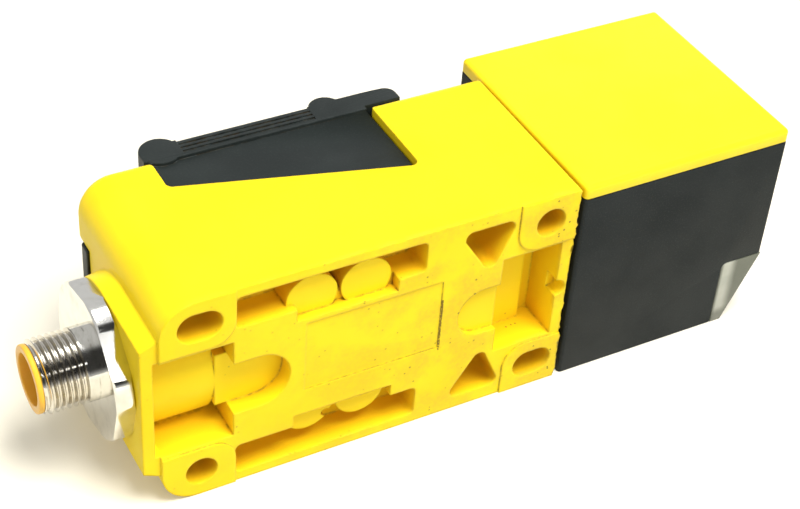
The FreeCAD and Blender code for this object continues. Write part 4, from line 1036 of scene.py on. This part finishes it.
@dataclass
class PlugThread:
    """The plug's outside thread, cut into the shell's front cylinder."""

    length: float = 8.5 * MM
    radius: float = 6.0 * MM
    insert_lip: float = 0.15 * MM
    pitch: float = 1.0 * MM
    depth: float = 0.6 * MM
    crest: float = 0.125 * MM
    root: float = 0.25 * MM
    steps: int = 72
    collar: float = 1.6 * MM
    tip_bevel: float = 0.5 * MM
    wall: float = 0.02 * MM
    spare_turns: int = 2
    weld: float = 0.002 * MM

    def __post_init__(self) -> None:
        """Find the plug's axis, ends and radii from the CAD nodes."""
        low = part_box("connector_shell")[0]
        carrier_low, carrier_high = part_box("contact_carrier")
        self.axis = Vector((0.0, (carrier_low.y + carrier_high.y) / 2, 0.0))
        self.front = low.x
        self.rear = low.x + self.length - self.collar
        self.bore = (carrier_high.y - carrier_low.y) / 2 - self.insert_lip

    def cut_shell(self, shell: bmesh.types.BMesh) -> None:
        """Take the plain front cylinder off the shell and close the cut.

        Args:
            shell: the merged copy of the shell.
        """
        parts = shell.verts[:] + shell.edges[:] + shell.faces[:]
        cut = bmesh.ops.bisect_plane(shell, geom=parts, plane_co=(self.rear, 0.0, 0.0),
                                     plane_no=(-1.0, 0.0, 0.0), clear_outer=True)
        rims = [item for item in cut["geom_cut"] if isinstance(item, bmesh.types.BMEdge)]
        bmesh.ops.bridge_loops(shell, edges=rims)
        shell.normal_update()

    def thread(self) -> bmesh.types.BMesh:
        """Wind the thread and close it into a sleeve.

        Returns:
            The sleeve's shape.
        """
        shape = bmesh.new()
        flank = (self.pitch - self.crest - self.root) / 2
        low = self.radius - self.depth
        profile = ((0.0, low), (self.root / 2, low), (self.root / 2 + flank, self.radius),
                   (self.root / 2 + flank + self.crest, self.radius), (self.pitch - self.root / 2, low),
                   (self.pitch, low))
        start = self.front - self.spare_turns * self.pitch
        verts = [shape.verts.new((start + along, self.axis.y + out, 0.0)) for along, out in profile]
        edges = [shape.edges.new(pair) for pair in zip(verts, verts[1:])]
        turns = math.ceil((self.rear - self.front) / self.pitch) + self.spare_turns + 1
        bmesh.ops.spin(shape, geom=verts + edges, cent=self.axis, axis=(1.0, 0.0, 0.0),
                       dvec=(self.pitch / self.steps, 0.0, 0.0), angle=turns * math.tau,
                       steps=turns * self.steps, use_merge=False, use_duplicate=False)
        bmesh.ops.remove_doubles(shape, verts=shape.verts, dist=self.weld)
        for level, side in ((self.front, -1.0), (self.rear, 1.0)):
            parts = shape.verts[:] + shape.edges[:] + shape.faces[:]
            bmesh.ops.bisect_plane(shape, geom=parts, plane_co=(level, 0.0, 0.0), plane_no=(side, 0.0, 0.0),
                                   clear_outer=True)
        for vert in shape.verts:
            out = Vector((0.0, vert.co.y, vert.co.z)) - self.axis
            limit = self.radius - max(0.0, self.front + self.tip_bevel - vert.co.x)
            vert.co -= out.normalized() * max(0.0, out.length - limit)
        self.close(shape)
        return shape

    def close(self, shape: bmesh.types.BMesh) -> None:
        """Turn the open thread inwards at both ends, so that it is a closed sleeve.

        Args:
            shape: the open thread.
        """
        rims = []
        for level in (self.front, self.rear):
            rim = [edge for edge in shape.edges
                   if edge.is_boundary and all(abs(vert.co.x - level) < TIGHT for vert in edge.verts)]
            grown = bmesh.ops.extrude_edge_only(shape, edges=rim)["geom"]
            for vert in [item for item in grown if isinstance(item, bmesh.types.BMVert)]:
                out = (Vector((0.0, vert.co.y, vert.co.z)) - self.axis).normalized()
                vert.co = Vector((vert.co.x, 0.0, 0.0)) + self.axis + out * (self.bore + self.wall)
            rims += [item for item in grown if isinstance(item, bmesh.types.BMEdge) and item.is_boundary]
        bmesh.ops.bridge_loops(shape, edges=rims)
        bmesh.ops.recalc_face_normals(shape, faces=shape.faces)


@dataclass
class ThreadedShell(SoftEdges):
    """The plug's shell without its front cylinder, which the thread takes over."""

    thread: PlugThread = field(default_factory=PlugThread)

    def shaped(self) -> bmesh.types.BMesh:
        """Cut the front cylinder away.

        Returns:
            The shape.
        """
        shape = self.merged()
        self.thread.cut_shell(shape)
        return shape


@dataclass
class ClampScrews:
    """Slotted heads of the terminal screws."""

    slot_width: float = 0.6 * MM
    slot_depth: float = 0.7 * MM
    sides: int = 40
    count: int = 4
    first_turn: float = math.radians(25)
    next_turn: float = math.radians(40)

    def build(self, finish: bpy.types.Material) -> bpy.types.Object:
        """Make the four heads as one piece.

        Args:
            finish: their material.

        Returns:
            The new object.
        """
        low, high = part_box("terminal_screws")
        radius = (high.x - low.x) / 2
        pitch = (high.z - low.z - 2 * radius) / (self.count - 1)
        shape = bmesh.new()
        for step in range(self.count):
            spot = Vector(((low.x + high.x) / 2, low.y, low.z + radius + pitch * step))
            turn = Matrix.Rotation(self.first_turn + self.next_turn * step, 4, "Y")
            self.head(shape, radius, high.y - low.y, Matrix.Translation(spot) @ turn)
        bmesh.ops.recalc_face_normals(shape, faces=shape.faces)
        return add_piece(shape, "terminal_screw_heads", Body.BASE, finish, ("terminal_screws",))

    def head(self, shape: bmesh.types.BMesh, radius: float, height: float, place: Matrix) -> None:
        """Add one head: a lower disc with two half-round lands over it.

        Args:
            shape: the shape to add to.
            radius: the head's radius.
            height: its height.
            place: where it stands, with its axis along Y.
        """
        upright = Matrix.Rotation(math.radians(-90), 4, "X")
        for side in (-1.0, 1.0):
            disc = bmesh.ops.create_circle(shape, cap_ends=True, segments=self.sides, radius=radius)
            verts = disc["verts"]
            faces = list({face for vert in verts for face in vert.link_faces})
            edges = list({edge for vert in verts for edge in vert.link_edges})
            kept = bmesh.ops.bisect_plane(shape, geom=verts + edges + faces,
                                          plane_co=(0.0, side * self.slot_width / 2, 0.0),
                                          plane_no=(0.0, side, 0.0), clear_inner=True)
            land = [item for item in kept["geom"] if isinstance(item, bmesh.types.BMFace) and item.is_valid]
            self.raise_land(shape, land, height, place @ upright)
        disc = bmesh.ops.create_circle(shape, cap_ends=True, segments=self.sides, radius=radius - TIGHT)
        faces = list({face for vert in disc["verts"] for face in vert.link_faces})
        self.raise_land(shape, faces, height - self.slot_depth, place @ upright)

    @staticmethod
    def raise_land(shape: bmesh.types.BMesh, faces: list[bmesh.types.BMFace], height: float,
                   place: Matrix) -> None:
        """Extrude flat faces to a height and put them in place.

        Args:
            shape: the shape that holds them.
            faces: the flat faces.
            height: how far they rise.
            place: where they go.
        """
        grown = bmesh.ops.extrude_face_region(shape, geom=faces, use_keep_orig=True)["geom"]
        top = [item for item in grown if isinstance(item, bmesh.types.BMVert)]
        bmesh.ops.translate(shape, verts=top, vec=(0.0, 0.0, height))
        verts = list({vert for face in faces for vert in face.verts} | set(top))
        bmesh.ops.transform(shape, matrix=place, verts=verts)


@dataclass(frozen=True)
class PhotoCamera:
    """The camera that took the photograph, as fitted to the four mounting holes."""

    azimuth: float = math.radians(-31.09)
    elevation: float = math.radians(39.591)
    roll: float = math.radians(4.628)
    distance: float = 300.398 * MM
    aside: float = 4.023 * MM
    target: Point = (10.0 * MM, 20.0 * MM, 0.0)
    lens: float = 81.45
    sensor: float = 36.0
    near: float = 10.0 * MM

    def build(self) -> bpy.types.Object:
        """Make the camera and give it to the scene.

        Returns:
            The camera object.
        """
        flat = math.cos(self.elevation)
        back = Vector((math.sin(self.azimuth) * flat, -math.cos(self.azimuth) * flat,
                       math.sin(self.elevation)))
        right = Vector((math.cos(self.azimuth), math.sin(self.azimuth), 0.0))
        up = back.cross(right)
        across = right * math.cos(self.roll) + up * math.sin(self.roll)
        upward = up * math.cos(self.roll) - right * math.sin(self.roll)
        eye = Vector(self.target) + across * self.aside + back * self.distance
        data = bpy.data.cameras.new("photo_camera")
        data.lens = self.lens
        data.sensor_width = self.sensor
        data.clip_start = self.near
        camera = bpy.data.objects.new("photo_camera", data)
        turn = Matrix((across, upward, back)).transposed().to_4x4()
        camera.matrix_world = Matrix.Translation(eye) @ turn
        bpy.context.scene.collection.objects.link(camera)
        bpy.context.scene.camera = camera
        return camera


@dataclass(frozen=True)
class SoftLamp:
    """One flat studio lamp aimed at the object, with or without glints on metal."""

    name: str
    place: Point
    size: Span
    power: float
    glints: bool = False

    def build(self, aim: Vector) -> None:
        """Hang the lamp.

        Args:
            aim: the point that it lights.
        """
        data = bpy.data.lights.new(self.name, "AREA")
        data.shape = "RECTANGLE"
        data.size, data.size_y = self.size
        data.energy = self.power
        lamp = bpy.data.objects.new(self.name, data)
        lamp.visible_glossy = self.glints
        lamp.location = self.place
        lamp.rotation_euler = (Vector(self.place) - aim).to_track_quat("Z", "Y").to_euler()
        bpy.context.scene.collection.objects.link(lamp)


@dataclass(frozen=True)
class Studio:
    """A white floor under soft light."""

    lamps: tuple[SoftLamp, ...] = (
        SoftLamp("key", (0.08, -0.20, 0.62), (0.30, 0.30), 5.4),
        SoftLamp("front", (0.00, -0.62, 0.26), (0.55, 0.40), 0.98),
        SoftLamp("plug_side", (-0.60, -0.05, 0.40), (0.35, 0.35), 0.80),
        SoftLamp("tube_over", (0.05, 0.01, 0.60), (0.50, 0.04), 0.45, True),
        SoftLamp("tube_front", (0.245, -0.469, 0.468), (0.30, 0.06), 0.28, True),
    )
    floor_span: float = 6.0
    # Pale floor paint with a warm tint: painted yellow bounce light, seen in the floor's shadow.
    floor_colour_and_bounce: Colour = (0.88, 0.83, 0.69)
    floor_shade: Colour = (0.50, 0.49, 0.47)
    floor_lift: float = 0.06
    far_lift: float = 0.8
    far_from: float = 0.16
    far_to: float = 0.45
    sky: float = 0.40
    dark_sides: tuple[Point, ...] = ((0.40, -0.62, 0.67), (-0.40, -0.66, 0.64))
    dark_from: float = 0.70
    dark_to: float = 0.90
    bright_glint: float = 0.70
    dark_glint: float = 0.04

    def build(self) -> None:
        """Make the floor, the lamps and the world."""
        centre = (CAD_LOW + CAD_HIGH) / 2
        for lamp in self.lamps:
            lamp.build(centre)
        self.lay_floor()
        self.set_world()

    def lay_floor(self) -> None:
        """Lay the floor that the object lies on."""
        shape = bmesh.new()
        bmesh.ops.create_grid(shape, x_segments=1, y_segments=1, size=self.floor_span / 2)
        bmesh.ops.translate(shape, verts=shape.verts, vec=(0.0, 0.0, CAD_LOW.z))
        mesh = bpy.data.meshes.new("floor")
        shape.to_mesh(mesh)
        shape.free()
        mesh.materials.append(self.floor_paint())
        floor = bpy.data.objects.new("floor", mesh)
        bpy.context.scene.collection.objects.link(floor)

    def floor_paint(self) -> bpy.types.Material:
        """Mix the pale paint of the floor, lifted to white where the camera sees it unshaded; its warm tint
        is painted yellow bounce light in the floor's shadow.

        Returns:
            The material.
        """
        material = bpy.data.materials.new("pale_floor")
        material.use_nodes = True
        sheet = NodeSheet(material.node_tree)
        material.node_tree.nodes.clear()
        paint = sheet.add("ShaderNodeBsdfDiffuse")
        lift = sheet.add("ShaderNodeEmission")
        path = sheet.add("ShaderNodeLightPath")
        seen = sheet.sum("MAXIMUM", path.outputs["Is Camera Ray"], path.outputs["Is Transmission Ray"])
        seen = sheet.sum("MAXIMUM", seen, path.outputs["Is Glossy Ray"])
        # The warm tint of this paint is painted bounce light in the floor's shadow.
        sheet.feed(paint.inputs["Color"], sheet.blend(seen, self.floor_shade, self.floor_colour_and_bounce))
        apart = sheet.add("ShaderNodeVectorMath", operation="LENGTH")
        sheet.feed(apart.inputs[0], sheet.add("ShaderNodeTexCoord").outputs["Object"])
        far = sheet.span(apart.outputs["Value"], self.far_from, self.far_to, self.floor_lift, self.far_lift)
        sheet.feed(lift.inputs["Strength"], sheet.product(seen, far))
        both = sheet.add("ShaderNodeAddShader")
        sheet.feed(both.inputs[0], paint.outputs[0])
        sheet.feed(both.inputs[1], lift.outputs[0])
        out = sheet.add("ShaderNodeOutputMaterial")
        sheet.feed(out.inputs["Surface"], both.outputs[0])
        return material

    def set_world(self) -> None:
        """Light from all round, white to the eye, with darker sides where the photographer stands."""
        world = bpy.data.worlds.new("studio")
        world.use_nodes = True
        sheet = NodeSheet(world.node_tree)
        world.node_tree.nodes.clear()
        way = sheet.add("ShaderNodeTexCoord").outputs["Generated"]
        nearest = -1.0
        for side in self.dark_sides:
            aside = sheet.add("ShaderNodeVectorMath", operation="DOT_PRODUCT")
            sheet.feed(aside.inputs[0], way)
            aside.inputs[1].default_value = side
            nearest = sheet.sum("MAXIMUM", aside.outputs["Value"], nearest)
        front = sheet.span(nearest, self.dark_from, self.dark_to, self.bright_glint, self.dark_glint)
        path = sheet.add("ShaderNodeLightPath")
        glossy = sheet.sum("MAXIMUM", path.outputs["Is Glossy Ray"], path.outputs["Is Transmission Ray"])
        plain = sheet.sum("SUBTRACT", 1.0, sheet.sum("MAXIMUM", glossy, path.outputs["Is Camera Ray"]))
        light = sheet.sum("ADD", sheet.sum("MULTIPLY", plain, self.sky), path.outputs["Is Camera Ray"])
        light = sheet.sum("ADD", light, sheet.sum("MULTIPLY", glossy, front))
        ground = sheet.add("ShaderNodeBackground")
        ground.inputs["Color"].default_value = (1.0, 1.0, 1.0, 1.0)
        sheet.feed(ground.inputs["Strength"], light)
        out = sheet.add("ShaderNodeOutputWorld")
        sheet.feed(out.inputs["Surface"], ground.outputs[0])
        bpy.context.scene.world = world


class Finishes:
    """Every material of the switch, built once."""

    def __init__(self) -> None:
        """Build the shared effects and the materials."""
        effects = Effects()
        plug_low, plug_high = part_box("contact_carrier")
        plug_axis = ((plug_low.y + plug_high.y) / 2, 0.0)
        self.base = MountingSidePlastic(
            "base_yellow", (0.96, 0.72, 0.012), 0.42, deep=(0.93, 0.66, 0.010), rubbed=(0.98, 0.80, 0.06),
            soil_and_shade=(0.12, 0.065, 0.012), dirt_and_shade=0.7, rub=0.35, rounding=0.55 * MM, shine=0.15,
            reach=0.9 * MM).build(effects)
        self.cap = MouldedPlastic(
            "cap_yellow", (0.97, 0.74, 0.014), 0.38, deep=(0.95, 0.70, 0.012), rubbed=(0.99, 0.82, 0.08),
            soil_and_shade=(0.30, 0.18, 0.02), dirt_and_shade=0.3, rub=0.3, shine=0.25).build(effects)
        self.head = MouldedPlastic(
            "head_black", (0.0172, 0.0206, 0.0204), 0.55, deep=(0.0140, 0.0170, 0.0169),
            rubbed=(0.10, 0.105, 0.10), grain=3600.0, grain_depth=0.03 * MM, dirt_and_shade=0.2, rub=0.4,
            speckle=0.13, shine=0.12).build(effects)
        self.cover = MouldedPlastic(
            "cover_black", (0.0145, 0.0192, 0.0178), 0.50, deep=(0.0114, 0.0150, 0.0141),
            rubbed=(0.09, 0.105, 0.10), grain=3000.0, grain_depth=0.02 * MM, dirt_and_shade=0.3, rub=0.5,
            speckle=0.08, shine=0.32).build(effects)
        self.carrier = MouldedPlastic(
            "carrier_orange", (0.90, 0.50, 0.035), 0.36, deep=(0.80, 0.38, 0.018), rubbed=(0.92, 0.58, 0.12),
            soil_and_shade=(0.20, 0.08, 0.01), dirt_and_shade=0.5, rub=0.5).build(effects)
        self.terminal = MouldedPlastic(
            "terminal_grey", (0.11, 0.115, 0.12), 0.5, deep=(0.09, 0.095, 0.10),
            rubbed=(0.25, 0.25, 0.26)).build(effects)
        self.bobbin = MouldedPlastic(
            "bobbin_beige", (0.52, 0.45, 0.30), 0.5, deep=(0.47, 0.40, 0.26),
            rubbed=(0.7, 0.65, 0.5)).build(effects)
        self.ferrite = MouldedPlastic(
            "ferrite", (0.012, 0.012, 0.013), 0.6, deep=(0.02, 0.02, 0.021), rubbed=(0.1, 0.1, 0.1),
            grain=1500.0, grain_depth=0.05 * MM).build(effects)
        self.chip = MouldedPlastic(
            "chip_black", (0.010, 0.010, 0.011), 0.55, deep=(0.014, 0.014, 0.015),
            rubbed=(0.06, 0.06, 0.06)).build(effects)
        self.nickel = TurnedMetal(
            "nickel_brass", (0.78, 0.77, 0.73), 0.12, axis=plug_axis, depth=0.002 * MM).build(effects)
        # The thread wears a darker copy of the shell's nickel: painted shade.
        self.thread = TurnedMetal(
            "thread_nickel_shaded", (0.66, 0.63, 0.57), 0.12, axis=plug_axis, depth=0.002 * MM).build(effects)
        self.gold = TurnedMetal(
            "gold_brass", (0.86, 0.62, 0.24), 0.2, tarnish=(0.5, 0.3, 0.1), axis=plug_axis).build(effects)
        self.brass = TurnedMetal(
            "plain_brass", (0.72, 0.50, 0.20), 0.28, tarnish=(0.35, 0.2, 0.07)).build(effects)
        self.zinc = TurnedMetal(
            "zinc_steel", (0.62, 0.62, 0.60), 0.28, tarnish=(0.25, 0.22, 0.18)).build(effects)
        self.rubber = SoftRubber(
            "seal_rubber", (0.012, 0.012, 0.012), 0.6, bloom=(0.05, 0.05, 0.05)).build(effects)
        self.bundle = SoftRubber("bundle_grey", (0.035, 0.035, 0.037), 0.5).build(effects)
        lead_colours = {
            "lead_brown": ((0.09, 0.025, 0.008), (0.2, 0.1, 0.05)),
            "lead_white": ((0.75, 0.74, 0.70), (0.6, 0.58, 0.5)),
            "lead_blue": ((0.01, 0.04, 0.30), (0.1, 0.15, 0.4)),
            "lead_black": ((0.010, 0.010, 0.010), (0.12, 0.12, 0.12)),
        }
        self.leads = {name: SoftRubber(name, colour, 0.4, bloom=bloom).build(effects)
                      for name, (colour, bloom) in lead_colours.items()}
        window_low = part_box("led_window_mount_side")[0]
        # Where the window's painted highlight stripe starts.
        bright_width = 1.4 * MM
        painted_stripe_from = (window_low.x, window_low.x + bright_width, window_low.z)
        self.window = LampWindow(
            "window_clear", (0.50, 0.51, 0.41), 0.22, haze=(0.60, 0.60, 0.49), painted_stripe_from=painted_stripe_from,
            frost=0.2).build(effects)
        self.lamp = LampWindow("lamp_clear", (0.75, 0.68, 0.35), 0.2, haze=(0.85, 0.8, 0.5)).build(effects)
        self.copper = WoundWire("copper", (0.72, 0.30, 0.12), 0.35).build(effects)
        self.board = CircuitLaminate("board_green", (0.015, 0.13, 0.04), 0.35).build(effects)


@dataclass
class BaseUnit:
    """The base with its plug, terminals and leads."""

    finishes: Finishes
    insert_edge: float = 0.22 * MM
    pin_edge: float = 0.2 * MM
    block_edge: float = 0.15 * MM
    clamp_edge: float = 0.12 * MM
    crest_angle: float = math.radians(24)
    thread: PlugThread = field(default_factory=PlugThread)
    screws: ClampScrews = field(default_factory=ClampScrews)

    def build(self) -> None:
        """Make and dress the base's pieces."""
        BaseMoulding("base_housing", Body.BASE, "base_yellow", 0.0).build(self.finishes.base, "base_moulding")
        self.build_plug()
        self.build_terminals()
        self.dress_inside()

    def build_plug(self) -> None:
        """Make the shell, its thread, the insert and the pins."""
        look = self.finishes
        shell = ThreadedShell("connector_shell", Body.BASE, "nickel_brass", 0.0, thread=self.thread)
        shell.build(look.nickel, "plug_shell")
        sleeve = add_piece(self.thread.thread(), "plug_thread", Body.BASE, look.thread)
        sleeve.data.shade_smooth()
        sleeve.data.set_sharp_from_angle(angle=self.crest_angle)
        insert = SoftEdges("contact_carrier", Body.BASE, "carrier_orange", self.insert_edge)
        insert.build(look.carrier, "plug_insert")
        SoftEdges("contact_pins", Body.BASE, "gold_brass", self.pin_edge).build(look.gold, "plug_pins")

    def build_terminals(self) -> None:
        """Make the terminal bar with its clamps and screws."""
        look = self.finishes
        bar = SoftEdges("terminal_block", Body.BASE, "terminal_grey", self.block_edge)
        bar.build(look.terminal, "terminal_bar")
        clamps = SoftEdges("terminal_clamps", Body.BASE, "plain_brass", self.clamp_edge)
        clamps.build(look.brass, "clamp_plates")
        self.screws.build(look.zinc)

    def dress_inside(self) -> None:
        """Dress the insert, the seal and the leads, which keep their CAD shapes."""
        look = self.finishes
        dress("cover_screw_insert", look.brass)
        dress("connector_seal", look.rubber)
        dress("head_lead_loop", look.bundle)
        for node, finish in look.leads.items():
            dress(node, finish)


@dataclass
class CoverUnit:
    """The front cover with its gasket and screw."""

    finishes: Finishes
    cover_edge: float = 0.30 * MM
    screw_edge: float = 0.15 * MM

    def build(self) -> None:
        """Make and dress the cover's pieces."""
        cover = CoverMoulding("front_cover", Body.COVER, "cover_black", self.cover_edge)
        cover.build(self.finishes.cover, "cover_moulding")
        screw = SoftEdges("cover_screw", Body.SCREW, "zinc_steel", self.screw_edge)
        screw.build(self.finishes.zinc, "cover_screw_soft")
        dress("cover_gasket", self.finishes.rubber)


@dataclass
class HeadUnit:
    """The turning head with its cap, windows and electronics."""

    finishes: Finishes
    head_edge: float = 0.28 * MM
    cap_edge: float = 0.2 * MM
    window_edge: float = 0.15 * MM

    def build(self) -> None:
        """Make and dress the head's pieces."""
        look = self.finishes
        SoftEdges("head_housing", Body.HEAD, "head_black", self.head_edge).build(look.head, "head_moulding")
        SoftEdges("active_face_cap", Body.HEAD, "cap_yellow", self.cap_edge).build(look.cap, "cap_moulding")
        for side in ("mount", "front"):
            window = SoftEdges(f"led_window_{side}_side", Body.HEAD, "window_clear", self.window_edge)
            window.build(look.window, f"lamp_window_{side}")
        self.dress_inside()

    def dress_inside(self) -> None:
        """Dress the coil, the electronics, the ring and the seal, which keep their CAD shapes."""
        look = self.finishes
        dress("ferrite_core", look.ferrite)
        dress("coil_bobbin", look.bobbin)
        dress("sensing_coil", look.copper)
        dress("circuit_board", look.board)
        dress("board_components", look.chip)
        dress("indicator_leds", look.lamp)
        dress("head_snap_ring", look.zinc)
        dress("head_seal", look.rubber)
        dress("head_leads", look.bundle)


def main() -> None:
    """Build the switch's looks, the studio and the camera."""
    logging.basicConfig(level=logging.INFO)
    bpy.context.scene.view_settings.view_transform = "Standard"
    finishes = Finishes()
    for unit in (BaseUnit(finishes), CoverUnit(finishes), HeadUnit(finishes)):
        unit.build()
        LOG.info("built %s", type(unit).__name__)
    PhotoCamera().build()
    Studio().build()


if __name__ == "__main__":
    main()
